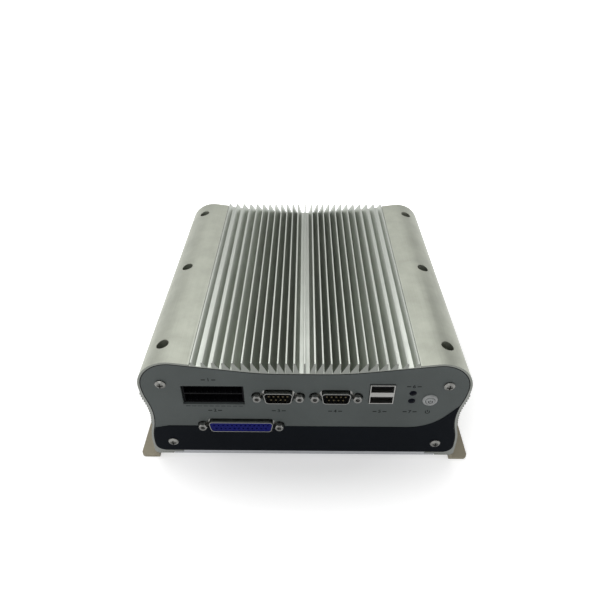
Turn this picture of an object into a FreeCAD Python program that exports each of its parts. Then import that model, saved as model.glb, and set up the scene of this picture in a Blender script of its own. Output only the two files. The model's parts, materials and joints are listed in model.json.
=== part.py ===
"""Fanless industrial PC with a finned heatsink roof, waisted side walls and two wall-mounting brackets.

Frame: origin at the centre of the four bracket slots, in the plane that the brackets stand on.
+X points right as seen from the front, +Y to the rear, +Z up. Everything is in millimetres.
"""
import FreeCAD, Part
import math
import os

V = FreeCAD.Vector
doc = FreeCAD.newDocument("fanless_pc")

# ---------------------------------------------------------------- driving dimensions

SIZES = [
    # case
    ("body_depth", 191.5, "length of the extrusions, front plane to rear plane"),
    ("foot_rise", 4.4, "underside of the body above the surface it stands on"),
    ("strip_height", 3.4, "silver strip that shows under the panels"),
    ("panel_half_width", 95.2, "half width of a panel at its widest"),
    ("waist_half_width", 91.7, "half width of a panel at its waist"),
    ("corner_radius", 6.0, "lower corners of a panel"),
    ("belly_height", 16.8, "height where the lower bulge is widest"),
    ("waist_height", 42.0, "height of the waist"),
    ("shoulder_height", 67.2, "height where the shoulders are widest"),
    ("crown_radius", 17.6, "round of a panel's shoulder"),
    ("roof_slope", 7.8, "fall of the roof towards the middle, degrees"),
    ("dish_half_width", 36.0, "half width of the dished middle of the roof"),
    ("dish_flat", 12.0, "half width of the level part of that dish"),
    ("rim", 1.7, "metal that shows round a panel"),
    ("roof_rim", 1.0, "metal over a panel between the fins"),
    ("ledge", 3.0, "step behind a panel that it rests on"),
    ("panel_gap", 0.25, "seam round a panel"),
    ("panel_thickness", 2.0, "front and rear panel"),
    ("outer_corner", 3.0, "lower outer corner of the side walls"),
    ("seam_height", 65.0, "joint between roof and side walls"),
    # fins
    ("fins_each_side", 12, "fins on each side of the middle one"),
    ("fin_first", 5.79, "middle to the first fin"),
    ("fin_pitch", 4.5, "pitch of the fins near the middle"),
    ("fin_spread", 0.07, "growth of the pitch with the square of the fin's number"),
    ("fin_tip", 0.8, "width of a fin's tip"),
    ("fin_lean", 0.75, "sideways run of a fin's sloped side for each mm of height"),
    ("fin_valley", 0.25, "least flat between two fins"),
    ("fin_first_foot", 2.75, "inner foot of the first fin from the middle"),
    ("fin_top", 86.3, "height of the fin tips in the middle"),
    ("fin_top_rise", 0.3, "how much higher the outermost tip is"),
    ("groove_width", 0.9, "groove between the last fin and the shoulder"),
    ("groove_depth", 0.3, "depth of that groove under the roof's surface"),
    ("cold_pad_half_width", 35.0, "flat pad under the roof that the processor warms"),
    ("cold_pad_height", 73.0, "height of that pad's underside"),
    # side walls
    ("ribs", 13, "ribs along a side wall"),
    ("rib_first", 33.5, "height of the lowest rib"),
    ("rib_pitch", 2.2, "pitch of the ribs"),
    ("rib_thickness", 1.2, "thickness of a rib"),
    ("rib_reach", 0.6, "ribs outside the wall"),
    ("screw_boss", 5.0, "half width of a screw boss"),
    ("wall_boss_height", 12.0, "depth of the boss that takes the roof screws"),
    ("wall_boss", 4.0, "half width of that boss"),
    # tray
    ("tray_thickness", 1.5, "bottom tray sheet"),
    ("tray_overlap", 6.0, "tray under the foot of a side wall"),
    ("fit_gap", 0.3, "clearance between sheets, boards and walls"),
    # screws
    ("panel_screw_x", 83.4, "panel screws from the middle"),
    ("panel_screw_high", 69.1, "height of the upper panel screws"),
    ("panel_screw_low", 16.7, "height of the lower panel screws"),
    ("panel_screw_head", 6.3, "head of a panel screw"),
    ("panel_screw_length", 9.0, "shank of a panel screw"),
    ("panel_screw_shank", 3.0, "diameter of the small screws"),
    ("thread_gap", 0.05, "radial gap that stands for the thread"),
    ("roof_screw_x", 83.0, "shoulder screws from the middle"),
    ("roof_screw_inset", 16.0, "end shoulder screws from the ends"),
    ("roof_screw_shift", 1.0, "middle shoulder screw behind the middle"),
    ("counterbore", 7.5, "counterbores in the shoulders"),
    ("roof_screw_seat", 74.0, "height of the counterbores' floor"),
    ("roof_screw_head", 7.0, "head of a shoulder screw"),
    ("roof_screw_shank", 4.0, "shank of a shoulder screw"),
    ("roof_screw_reach", 8.0, "shoulder screw below the seam"),
    ("tray_screw_x", 81.4, "tray screws from the middle"),
    ("low_head", 5.0, "head of the tray and bracket screws"),
    ("low_head_height", 1.3, "height of those heads"),
    ("low_screw_reach", 4.0, "depth of those screws in the foot"),
    # brackets
    ("bracket_sheet", 2.0, "bracket sheet"),
    ("bracket_half_width", 106.9, "half width over the brackets"),
    ("bracket_leaf", 12.1, "lower leaf up to the inner side of the step"),
    ("bracket_overlap", 7.8, "upper leaf inside the step"),
    ("bracket_screw_edge", 4.3, "bracket screws inside the step"),
    ("bracket_inset", 8.0, "upper leaf behind the front plane"),
    ("bracket_corner", 3.0, "rounded corners of the lower leaf"),
    ("slot_edge", 5.3, "bracket slots from the outer edge"),
    ("slot_y", 60.0, "bracket slots before and behind the middle"),
    ("slot_width", 4.5, "width of a slot"),
    ("slot_length", 7.0, "length of a slot"),
    # boards
    ("board_top", 52.3, "top of the main board"),
    ("board_thickness", 1.6, "circuit boards"),
    ("board_left", -78.0, "left edge of the main board"),
    ("board_right", 70.0, "right edge of the main board"),
    ("port_board_top", 26.9, "top of the lower port board"),
    ("port_board_left", -70.0, "left edge of the port board"),
    ("port_board_right", -5.0, "right edge of the port board"),
    ("port_board_depth", 62.0, "depth of the port board"),
    ("standoff_flats", 5.5, "standoffs, across flats"),
    ("standoff_x_left", -74.0, "left standoffs"),
    ("standoff_x_right", 65.0, "right standoffs"),
    ("standoff_y", 74.0, "standoffs before and behind the middle"),
    ("processor_size", 37.5, "processor package"),
    ("processor_height", 4.0, "processor package above the board"),
    ("processor_y", 10.0, "processor behind the middle"),
    ("spreader_size", 50.0, "heat spreader block"),
    ("memory_x", -65.0, "inner end of the memory socket"),
    ("memory_length", 70.0, "memory socket along the depth"),
    ("memory_reach", 30.0, "memory module across"),
    ("coin_x", 50.0, "coin cell from the middle"),
    ("coin_y", -30.0, "coin cell behind the middle"),
    ("coin_diameter", 20.0, "coin cell"),
    ("drive_x", 30.0, "storage drive from the middle"),
    ("drive_y", 20.0, "storage drive behind the middle"),
    ("drive_width", 70.0, "width of the storage drive"),
    ("drive_length", 100.0, "length of the storage drive"),
    ("drive_height", 9.5, "height of the storage drive"),
    ("carrier_sheet", 1.2, "sheet of the drive's carrier"),
    ("carrier_side", 8.0, "height of the carrier's sides"),
    ("capacitor_x", 28.0, "first filter capacitor"),
    ("capacitor_inset", 33.75, "filter capacitors before the rear plane"),
    ("capacitor_pitch", 11.0, "distance of the filter capacitors"),
    ("capacitor_diameter", 8.0, "a filter capacitor"),
    ("capacitor_height", 12.0, "a filter capacitor above the board"),
    # two-row ports
    ("port_axis", 59.46, "height of the serial ports' axis"),
    ("serial_left_x", -15.4, "left serial port"),
    ("serial_right_x", 18.6, "right serial port"),
    ("parallel_x", -38.9, "parallel port"),
    ("parallel_axis", 33.4, "height of the parallel port's axis"),
    ("video_x", 36.0, "video port on the rear"),
    ("nine_way_screws", 12.5, "jackscrew from the axis of a nine-way port"),
    ("wide_port_screws", 23.52, "jackscrew from the axis of the 25-way port"),
    ("nine_way_shell", 17.0, "shell of a nine-way port, at its wide side"),
    ("wide_port_shell", 39.2, "shell of the 25-way port, at its wide side"),
    ("port_shell_height", 8.6, "height of a port's shell"),
    ("port_shell_wall", 0.4, "thickness of a port's shell"),
    ("port_shell_reach", 2.2, "shell in front of the panel"),
    ("port_flange_height", 12.5, "height of a port's flange"),
    ("port_flange_margin", 3.0, "flange beyond the jackscrew"),
    ("port_body_depth", 10.0, "insulator behind the flange"),
    ("port_cut_margin", 1.3, "panel cut-out round a shell"),
    ("contact_pitch", 2.76, "contacts in a row"),
    ("contact_row", 2.84, "distance of the two rows"),
    ("contact_size", 1.0, "diameter of a contact"),
    ("jack_flats", 4.8, "jackscrews, across flats"),
    ("jack_reach", 3.0, "jackscrews in front of the panel"),
    ("jack_bore", 2.6, "threaded hole of a jackscrew"),
    ("jack_hole", 6.8, "panel hole round a jackscrew"),
    # other front ports
    ("terminal_x", -53.85, "terminal header"),
    ("terminal_width", 36.1, "width of the terminal header"),
    ("terminal_height", 15.05, "height of the terminal header"),
    ("terminal_depth", 14.0, "depth of the terminal header"),
    ("terminal_wall", 0.9, "walls of the terminal header"),
    ("terminal_setback", 1.5, "mouth of the header behind the front plane"),
    ("terminal_recess", 9.2, "depth of its two cavities"),
    ("terminal_ways", 10, "contacts of a cavity"),
    ("terminal_pitch", 3.5, "pitch of those contacts"),
    ("terminal_guide", 0.7, "height of the guides between the ways"),
    ("terminal_guide_width", 0.6, "thickness of those guides"),
    ("usb_front_x", 45.3, "two-storey socket on the front"),
    ("usb_width", 14.3, "width of a two-storey socket"),
    ("usb_height", 15.5, "height of a two-storey socket"),
    ("usb_depth", 17.0, "depth of a two-storey socket"),
    ("usb_lift", 2.1, "mouths of a two-storey socket above the board"),
    ("usb_reach", 0.8, "socket in front of the panel"),
    ("usb_wall", 0.55, "walls of a two-storey socket"),
    ("usb_mouth", 5.4, "height of one mouth"),
    ("light_x", 63.4, "indicator lights"),
    ("light_high", 62.8, "height of the upper light"),
    ("light_low", 56.2, "height of the lower light"),
    ("light_diameter", 4.2, "indicator lights"),
    ("button_x", 74.1, "power button"),
    ("button_height", 57.1, "height of the power button"),
    ("bezel_diameter", 8.9, "flange of the button's bezel"),
    ("bezel_reach", 0.9, "bezel in front of the panel"),
    ("bezel_neck", 7.4, "neck of the bezel"),
    ("cap_diameter", 5.3, "cap of the button"),
    ("cap_reach", 1.5, "cap in front of the panel"),
    ("cap_gap", 0.3, "running gap round the cap"),
    ("button_travel", 0.8, "travel of the button"),
    # rear ports
    ("usb_rear_x", 8.0, "two-storey socket on the rear"),
    ("network_x", -16.0, "first network jack"),
    ("network_pitch", 20.0, "distance of the network jacks"),
    ("network_width", 16.0, "width of a network jack"),
    ("audio_edge", 41.2, "first audio jack from the panel's left side"),
    ("audio_pitch", 12.0, "distance of the audio jacks"),
    ("inlet_x", 60.0, "power inlet"),
    ("rear_axis", 58.8, "height of the round rear sockets"),
    # film on the front panel
    ("film_thickness", 0.25, "black film"),
    ("film_margin", 0.3, "film inside the panel's edge"),
    ("band_height", 32.2, "height of the film's straight top edge"),
    ("band_dip_start", 83.5, "where the top edge starts to dip, left of the middle"),
    ("band_left_drop", 2.6, "drop of the top edge at its left end"),
    ("band_wave_start", 64.0, "where the top edge starts to rise, right of the middle"),
    ("band_wave_radius", 27.5, "round of the rising edge"),
    ("band_wave_slope", 53.0, "slope of the edge where it leaves the round, degrees"),
]

sheet = doc.addObject("Spreadsheet::Sheet", "sizes")
for line, (alias, value, meaning) in enumerate(SIZES, start=1):
    sheet.set(f"A{line}", meaning)
    sheet.set(f"B{line}", str(value))
    sheet.setAlias(f"B{line}", alias)
doc.recompute()


def size(alias):
    """Value of one named cell of the sheet."""
    return float(sheet.get(alias))


front_y = -size("body_depth") / 2
rear_y = size("body_depth") / 2
panel_back = front_y + size("panel_thickness")
panel_bottom = size("foot_rise") + size("strip_height")
parts = []


# ---------------------------------------------------------------- drawing in the XZ plane

def line(start, end):
    """Straight edge between two (x, z) points."""
    return Part.makeLine(V(start[0], 0, start[1]), V(end[0], 0, end[1]))


def arc(start, middle, end):
    """Arc through three (x, z) points."""
    points = [V(x, 0, z) for x, z in (start, middle, end)]
    return Part.Arc(*points).toShape()


def turned(centre, radius, degrees):
    """Point on a circle, its angle counted from +X towards +Z."""
    angle = math.radians(degrees)
    return (centre[0] + radius * math.cos(angle), centre[1] + radius * math.sin(angle))


def round_arc(centre, radius, first, last):
    """Arc of a circle between two angles in degrees."""
    return arc(*[turned(centre, radius, a) for a in (first, (first + last) / 2, last)])


def s_curve(start, end):
    """Two equal tangent arcs that leave start and reach end upright."""
    dx = end[0] - start[0]
    dz = end[1] - start[1]
    half_turn = math.atan2(abs(dx), dz)
    radius = dz / 2 / math.sin(2 * half_turn)
    side = radius * (1 - math.cos(half_turn)) * (1 if dx > 0 else -1)
    rise = radius * math.sin(half_turn)
    middle = (start[0] + dx / 2, start[1] + dz / 2)
    lower = arc(start, (start[0] + side, start[1] + rise), middle)
    upper = arc(middle, (end[0] - side, end[1] - rise), end)
    return [lower, upper]


def closed(edges):
    """Face inside a ring of edges."""
    return Part.Face(Part.Wire(Part.__sortEdges__(edges)))


def polygon(points):
    """Face inside a polygon of (x, z) points."""
    return closed([line(a, b) for a, b in zip(points, points[1:] + points[:1])])


def rectangle(left, right, low, high):
    return polygon([(left, low), (right, low), (right, high), (left, high)])


def disc(x, z, diameter):
    """Round face whose normal lies along Y."""
    return closed([Part.makeCircle(diameter / 2, V(x, 0, z), V(0, 1, 0))])


def mirrored(shape, side):
    """The shape itself on the right (side 1), its mirror image on the left (side -1)."""
    if side > 0:
        return shape
    return shape.mirror(V(0, 0, 0), V(1, 0, 0))


def slab(face, start, end):
    """Solid between two Y values whose section is the face."""
    block = face.extrude(V(0, end - start, 0))
    block.translate(V(0, start, 0))
    return block


def box(left, right, front, back, low, high):
    return Part.makeBox(right - left, back - front, high - low, V(left, front, low))


def rod(x, z, diameter, start, end):
    """Cylinder along Y."""
    return Part.makeCylinder(diameter / 2, end - start, V(x, start, z), V(0, 1, 0))


def post(x, y, diameter, low, high):
    """Cylinder along Z."""
    return Part.makeCylinder(diameter / 2, high - low, V(x, y, low), V(0, 0, 1))


def hexagon(flats):
    """Hexagonal face in the XY plane, two of its corners on X."""
    corner = flats / math.sqrt(3)
    points = [V(corner * math.cos(k * math.pi / 3), corner * math.sin(k * math.pi / 3), 0) for k in range(7)]
    return Part.Face(Part.makePolygon(points))


def joined(faces):
    """One face that covers several overlapping faces of the XZ plane."""
    slabs = [face.extrude(V(0, 1, 0)) for face in faces]
    solid = slabs[0].multiFuse(slabs[1:]).removeSplitter()
    return [face for face in solid.Faces if abs(face.BoundBox.YMax) < 1e-6][0]


# ---------------------------------------------------------------- document objects

def keep(item, label):
    item.Label = label
    parts.append(item)
    return item


def feature(label, shape, place=None):
    """Sub-part whose shape is worked out in code from the sheet, moved to its place if one is given."""
    item = doc.addObject("Part::Feature", label)
    item.Shape = shape
    if place is not None:
        item.Placement = FreeCAD.Placement(place, FreeCAD.Rotation())
    return keep(item, label)


def group(label, solids):
    """Like pieces, each a solid of its own, under one label."""
    return feature(label, Part.makeCompound(solids))


def bound_box(label, length, width, height, corner):
    """Part::Box whose three sizes and three corner coordinates are expressions on the sheet."""
    item = doc.addObject("Part::Box", label)
    for name, formula in zip(("Length", "Width", "Height"), (length, width, height)):
        item.setExpression(name, formula)
    for name, formula in zip("xyz", corner):
        item.setExpression(f"Placement.Base.{name}", formula)
    return keep(item, label)


def body_of(label):
    return keep(doc.addObject("PartDesign::Body", label), label)


def sketch_on(body, role, name, wires, offset="0"):
    """Sketch on one origin plane of the body, moved along the plane's normal by an expression."""
    sketch = body.newObject("Sketcher::SketchObject", name)
    plane = [f for f in body.Origin.OriginFeatures if f.Role == role][0]
    sketch.AttachmentSupport = [(plane, "")]
    sketch.MapMode = "FlatFace"
    sketch.setExpression("AttachmentOffset.Base.z", offset)
    flat = (lambda p: V(p.x, p.z, 0)) if role == "XZ_Plane" else (lambda p: V(p.x, p.y, 0))
    for edge in [e for wire in wires for e in wire.Edges]:
        first, last = edge.ParameterRange
        start, middle, end = [flat(edge.valueAt(t)) for t in (first, (first + last) / 2, last)]
        if isinstance(edge.Curve, Part.Line):
            sketch.addGeometry(Part.LineSegment(start, end))
        elif edge.isClosed():
            sketch.addGeometry(Part.Circle(flat(edge.Curve.Center), V(0, 0, 1), edge.Curve.Radius))
        else:
            sketch.addGeometry(Part.Arc(start, middle, end))
    return sketch


def pad(body, name, sketch, length, side_type="One side", reverse=False):
    item = body.newObject("PartDesign::Pad", name)
    item.Profile = sketch
    item.SideType = side_type
    item.Reversed = reverse
    item.setExpression("Length", length)
    sketch.Visibility = False
    return item


def pocket(body, name, sketch, length, reverse=False):
    """Pocket that must take metal away: the volume is compared before and after."""
    doc.recompute()
    before = body.Shape.Volume
    item = body.newObject("PartDesign::Pocket", name)
    item.Profile = sketch
    item.Reversed = reverse
    item.setExpression("Length", length)
    sketch.Visibility = False
    doc.recompute()
    if body.Shape.Volume > before - 1e-6:
        raise RuntimeError(f"{body.Label}: {name} cuts nothing")
    return item


FRONT = "sizes.body_depth / 2"
REAR = "-sizes.body_depth / 2"


def pocket_both_ends(body, name, wires, length):
    """The same pocket from the front plane and from the rear plane."""
    front = sketch_on(body, "XZ_Plane", f"{name}_front_sketch", wires, FRONT)
    pocket(body, f"{name}_front", front, length)
    rear = sketch_on(body, "XZ_Plane", f"{name}_rear_sketch", wires, REAR)
    pocket(body, f"{name}_rear", rear, length, reverse=True)


# ---------------------------------------------------------------- outline of the case

slope = math.radians(size("roof_slope"))
crown_centre = (size("panel_half_width") - size("crown_radius"), size("shoulder_height"))
crown_end = turned(crown_centre, size("crown_radius"), 90 + size("roof_slope"))
dish_edge = (size("dish_half_width"),
             crown_end[1] - (crown_end[0] - size("dish_half_width")) * math.tan(slope))
dish_radius = (size("dish_half_width") - size("dish_flat")) / math.sin(slope)
dish_centre = (size("dish_flat"), dish_edge[1] + dish_radius * math.cos(slope))
dish_low = dish_centre[1] - dish_radius


def panel_outline():
    """Face of a panel: straight foot, hourglass sides, round shoulders and a dished top edge."""
    width = size("panel_half_width")
    radius = size("corner_radius")
    belly = (width, size("belly_height"))
    waist = (size("waist_half_width"), size("waist_height"))
    shoulder = (width, size("shoulder_height"))
    half = [line((0, panel_bottom), (width - radius, panel_bottom))]
    half.append(round_arc((width - radius, panel_bottom + radius), radius, -90, 0))
    half.append(line((width, panel_bottom + radius), belly))
    half += s_curve(belly, waist)
    half += s_curve(waist, shoulder)
    half.append(round_arc(crown_centre, size("crown_radius"), 0, 90 + size("roof_slope")))
    half.append(line(crown_end, dish_edge))
    half.append(round_arc(dish_centre, dish_radius, size("roof_slope") - 90, -90))
    half.append(line((dish_centre[0], dish_low), (0, dish_low)))
    return closed(half + [mirrored(edge, -1) for edge in half])


def roof_height(x):
    """Height of the roof's surface between the fins, a thin rim above the panel's top edge."""
    rim = size("roof_rim")
    if abs(x) < dish_centre[0]:
        return dish_low + rim
    if abs(x) < dish_edge[0]:
        return dish_centre[1] - math.sqrt((dish_radius - rim) ** 2 - (abs(x) - dish_centre[0]) ** 2)
    rise = (abs(x) - dish_edge[0]) * math.tan(slope)
    return dish_edge[1] + rise + rim / math.cos(slope)


outline = panel_outline()
half_width = size("panel_half_width") + size("rim")
FAR = 2 * half_width


def outer_outline():
    """Outside of the case: the panel's outline grown by the rim, on a squarer foot."""
    radius = size("outer_corner")
    low = size("foot_rise")
    high = panel_bottom + size("corner_radius")
    half = [line((0, low), (half_width - radius, low)),
            round_arc((half_width - radius, low + radius), radius, -90, 0),
            line((half_width, low + radius), (half_width, high)),
            line((half_width, high), (0, high))]
    foot = closed(half + [mirrored(edge, -1) for edge in half])
    return joined([outline.makeOffset2D(size("rim")), foot])


outer = outer_outline()
wall_ring = outer.cut(outline.makeOffset2D(-size("ledge")))
rebate = outline.makeOffset2D(size("panel_gap"))
foot_inner = size("panel_screw_x") - size("screw_boss")


# ---------------------------------------------------------------- roof extrusion with its fins

def fin_position(number):
    """Distance of a fin from the middle; the pitch widens outwards."""
    return size("fin_first") + size("fin_pitch") * number + size("fin_spread") * number ** 2


last_fin = fin_position(int(size("fins_each_side")) - 1)


def fin(number, side):
    """Saw-tooth fin: upright outer side, sloped side that ends short of the fin before it."""
    x = fin_position(number)
    tip = size("fin_top") + size("fin_top_rise") * (x / last_fin) ** 4
    root = roof_height(x) - size("roof_rim") / 2
    outside = x + size("fin_tip") / 2
    inside = x - size("fin_tip") / 2
    nearest = size("fin_first_foot")
    if number > 0:
        nearest = fin_position(number - 1) + size("fin_tip") / 2 + size("fin_valley")
    toe = max(inside - size("fin_lean") * (tip - root), nearest)
    return mirrored(polygon([(outside, root), (outside, tip), (inside, tip), (toe, root)]), side)


def middle_fin():
    """Thin fin with both sides slightly tapered."""
    half = size("fin_tip") / 2
    root = roof_height(0) - size("roof_rim") / 2
    foot = 1.6 * half
    return polygon([(-foot, root), (foot, root), (half, size("fin_top")), (-half, size("fin_top"))])


def roof_section():
    seam = size("seam_height")
    groove_start = last_fin + size("fin_tip") / 2
    groove_end = groove_start + size("groove_width")
    above_field = rectangle(-groove_end, groove_end, seam, FAR).cut(outline.makeOffset2D(size("roof_rim")))
    roof = wall_ring.common(rectangle(-FAR, FAR, seam, FAR)).cut(above_field)
    block_inner = size("roof_screw_x") - size("counterbore")
    shoulders = [outer.common(mirrored(rectangle(block_inner, FAR, seam, FAR), s)) for s in (-1, 1)]
    pad_half = size("cold_pad_half_width")
    cold_pad = rectangle(-pad_half, pad_half, size("cold_pad_height"), dish_low)
    fins = [fin(k, s) for k in range(int(size("fins_each_side"))) for s in (-1, 1)]
    section = joined([roof, *shoulders, cold_pad, middle_fin(), *fins])
    groove_floor = roof_height(groove_end) - size("groove_depth")
    for side in (-1, 1):
        section = section.cut(mirrored(rectangle(groove_start, groove_end, groove_floor, FAR), side))
    return section


def roof_screw_places(side):
    """(x, y) of the three shoulder screws on one side."""
    inset = size("roof_screw_inset")
    steps = (front_y + inset, size("roof_screw_shift"), rear_y - inset)
    return [(side * size("roof_screw_x"), y) for y in steps]


def circles_on_xy(places, diameter):
    return [Part.Wire(Part.makeCircle(diameter / 2, V(x, y, 0))) for x, y in places]


def circles_on_xz(places, diameter):
    return [Part.Wire(Part.makeCircle(diameter / 2, V(x, 0, z), V(0, 1, 0))) for x, z in places]


small_hole = size("panel_screw_shank") + 2 * size("thread_gap")


def make_top_heatsink():
    body = body_of("top_heatsink")
    profile = sketch_on(body, "XZ_Plane", "roof_profile", roof_section().Faces[0].Wires)
    pad(body, "roof_extrusion", profile, "sizes.body_depth", "Symmetric")
    pocket_both_ends(body, "panel_rebate", [rebate.OuterWire], "sizes.panel_thickness")
    screws = [(s * size("panel_screw_x"), size("panel_screw_high")) for s in (-1, 1)]
    pocket_both_ends(body, "screw_channel", circles_on_xz(screws, small_hole),
                     "sizes.panel_thickness + sizes.panel_screw_length + 1")
    places = roof_screw_places(-1) + roof_screw_places(1)
    wide = sketch_on(body, "XY_Plane", "counterbore_sketch",
                     circles_on_xy(places, size("counterbore")), "sizes.roof_screw_seat")
    pocket(body, "counterbores", wide, "sizes.crown_radius * 2", reverse=True)
    shank = size("roof_screw_shank") + 0.5
    narrow = sketch_on(body, "XY_Plane", "clearance_sketch",
                       circles_on_xy(places, shank), "sizes.roof_screw_seat + 1")
    pocket(body, "clearance_holes", narrow, "sizes.roof_screw_seat - sizes.seam_height + 2")


# ---------------------------------------------------------------- side walls

def wall_section():
    """Right side wall: waisted web with ribs outside, two screw bosses and a foot."""
    seam = size("seam_height")
    web = wall_ring.common(rectangle(foot_inner, FAR, 0, seam))
    low_boss = outer.common(rectangle(foot_inner, FAR, 0, size("panel_screw_low") + size("screw_boss")))
    high_boss = outer.common(rectangle(size("roof_screw_x") - size("wall_boss"), FAR,
                                       seam - size("wall_boss_height"), seam))
    ribs = []
    for k in range(int(size("ribs"))):
        low = size("rib_first") + k * size("rib_pitch")
        high = low + size("rib_thickness")
        edge = outer.common(rectangle(0, FAR, low, high)).BoundBox.XMax
        ribs.append(rectangle(edge - size("rim"), edge + size("rib_reach"), low, high))
    section = joined([web, low_boss, high_boss, *ribs])
    under = size("foot_rise") + size("tray_thickness") + size("fit_gap")
    return section.cut(rectangle(0, foot_inner + size("tray_overlap") + size("fit_gap"), 0, under))


def foot_screw_places(x, count):
    """(x, y) of a row of screws along the right foot, spread evenly over the depth."""
    reach = size("body_depth") * 0.42
    return [(x, reach * (2 * k / (count - 1) - 1)) for k in range(count)]


bracket_web = size("bracket_half_width") - size("bracket_leaf")
bracket_inner = bracket_web - size("bracket_overlap")
slot_x = size("bracket_half_width") - size("slot_edge")
tray_screws = foot_screw_places(size("tray_screw_x"), 4)
bracket_screws = foot_screw_places(bracket_web - size("bracket_screw_edge"), 3)


def make_side_wall(label, side):
    body = body_of(label)
    section = mirrored(wall_section().Faces[0], side)
    profile = sketch_on(body, "XZ_Plane", f"{label}_profile", section.Faces[0].Wires)
    pad(body, f"{label}_extrusion", profile, "sizes.body_depth", "Symmetric")
    pocket_both_ends(body, f"{label}_rebate", [rebate.OuterWire], "sizes.panel_thickness")
    channel = circles_on_xz([(side * size("panel_screw_x"), size("panel_screw_low"))], small_hole)
    pocket_both_ends(body, f"{label}_channel", channel,
                     "sizes.panel_thickness + sizes.panel_screw_length + 1")
    bore = size("roof_screw_shank") + 2 * size("thread_gap")
    threads = sketch_on(body, "XY_Plane", f"{label}_thread_sketch",
                        circles_on_xy(roof_screw_places(side), bore), "sizes.seam_height")
    pocket(body, f"{label}_threads", threads, "sizes.roof_screw_reach + 1")
    under = sketch_on(body, "XY_Plane", f"{label}_foot_sketch",
                      circles_on_xy([(side * x, y) for x, y in tray_screws + bracket_screws], small_hole),
                      "sizes.foot_rise")
    pocket(body, f"{label}_foot_holes", under,
           "sizes.tray_thickness + sizes.low_screw_reach + 1", reverse=True)


# ---------------------------------------------------------------- tray, brackets

def make_bottom_tray():
    """Flat sheet under the feet, with a lip turned up at the front and at the rear."""
    low = size("foot_rise")
    wide = foot_inner + size("tray_overlap")
    lip_half = foot_inner - size("fit_gap")
    lip_top = panel_bottom - size("fit_gap")
    body = body_of("bottom_tray")
    plate = [polygon([(-wide, low), (wide, low), (wide, low + size("tray_thickness")),
                      (-wide, low + size("tray_thickness"))]).OuterWire]
    section = sketch_on(body, "XZ_Plane", "tray_section", plate)
    pad(body, "tray_plate", section, "sizes.body_depth", "Symmetric")
    lip = [rectangle(-lip_half, lip_half, low, lip_top).OuterWire]
    front = sketch_on(body, "XZ_Plane", "front_lip_section", lip, FRONT)
    pad(body, "front_lip", front, "sizes.tray_thickness", reverse=True)
    rear = sketch_on(body, "XZ_Plane", "rear_lip_section", lip, REAR)
    pad(body, "rear_lip", rear, "sizes.tray_thickness")
    places = [(s * x, y) for x, y in tray_screws for s in (-1, 1)]
    holes = sketch_on(body, "XY_Plane", "tray_holes_sketch",
                      circles_on_xy(places, small_hole + 0.3), "sizes.foot_rise + sizes.tray_thickness")
    pocket(body, "tray_holes", holes, "sizes.tray_thickness + 1")


def slot_wire(x, y):
    """Slot along X, centred on (x, y)."""
    radius = size("slot_width") / 2
    reach = size("slot_length") / 2 - radius
    first = V(x - reach, y - radius, 0)
    second = V(x + reach, y - radius, 0)
    third = V(x + reach, y + radius, 0)
    fourth = V(x - reach, y + radius, 0)
    edges = [Part.makeLine(first, second),
             Part.Arc(second, V(x + reach + radius, y, 0), third).toShape(),
             Part.makeLine(third, fourth),
             Part.Arc(fourth, V(x - reach - radius, y, 0), first).toShape()]
    return Part.Wire(edges)


def make_bracket(label, side):
    """Joggled strip: an upper leaf under the side wall's foot, a step, and a slotted lower leaf."""
    sheet_t = size("bracket_sheet")
    top = size("foot_rise")
    web = bracket_web
    section = polygon([(bracket_inner, top), (web + sheet_t, top), (web + sheet_t, sheet_t),
                       (size("bracket_half_width"), sheet_t), (size("bracket_half_width"), 0),
                       (web, 0), (web, top - sheet_t), (bracket_inner, top - sheet_t)])
    body = body_of(label)
    profile = sketch_on(body, "XZ_Plane", f"{label}_profile", [mirrored(section, side).Wires[0]])
    pad(body, f"{label}_strip", profile, "sizes.body_depth", "Symmetric")
    leaf = mirrored(rectangle(0, web, size("bracket_sheet") / 4, FAR), side)
    pocket_both_ends(body, f"{label}_setback", [leaf.Wires[0]], "sizes.bracket_inset")
    slots = [slot_wire(side * slot_x, s * size("slot_y")) for s in (-1, 1)]
    cut = sketch_on(body, "XY_Plane", f"{label}_slot_sketch", slots, "sizes.bracket_sheet")
    pocket(body, f"{label}_slots", cut, "sizes.bracket_sheet + 1")
    places = [(side * x, y) for x, y in bracket_screws]
    holes = sketch_on(body, "XY_Plane", f"{label}_hole_sketch",
                      circles_on_xy(places, small_hole + 0.3), "sizes.foot_rise")
    pocket(body, f"{label}_holes", holes, "sizes.foot_rise")
    outer_edge = side * size("bracket_half_width")
    corners = []
    for number, edge in enumerate(body.Shape.Edges, start=1):
        middle = edge.CenterOfMass
        upright = abs(edge.tangentAt(edge.ParameterRange[0]).z) > 0.99
        if upright and abs(middle.x - outer_edge) < 0.01:
            corners.append(f"Edge{number}")
    strip = body.Tip
    rounding = body.newObject("PartDesign::Fillet", f"{label}_corners")
    rounding.Base = (strip, corners)
    rounding.setExpression("Radius", "sizes.bracket_corner")


# ---------------------------------------------------------------- two-row ports

def d_face(x, z, width, height, grow=0.0):
    """D-shaped face: wide side up, sides leaning in by ten degrees, round corners."""
    radius = 2.2
    lean = math.tan(math.radians(10)) * (height - 2 * radius)
    wide = width / 2 - radius
    high = height / 2 - radius
    core = polygon([(x - wide + lean, z - high), (x + wide - lean, z - high),
                    (x + wide, z + high), (x - wide, z + high)])
    return core.makeOffset2D(radius + grow)


def contact_places(x, z, rows):
    """(x, z) of the contacts, for the numbers in each row from the top."""
    places = []
    for row, count in enumerate(rows):
        height = z + size("contact_row") * ((len(rows) - 1) / 2 - row)
        start = x - size("contact_pitch") * (count - 1) / 2
        places += [(start + size("contact_pitch") * k, height) for k in range(count)]
    return places


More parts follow.
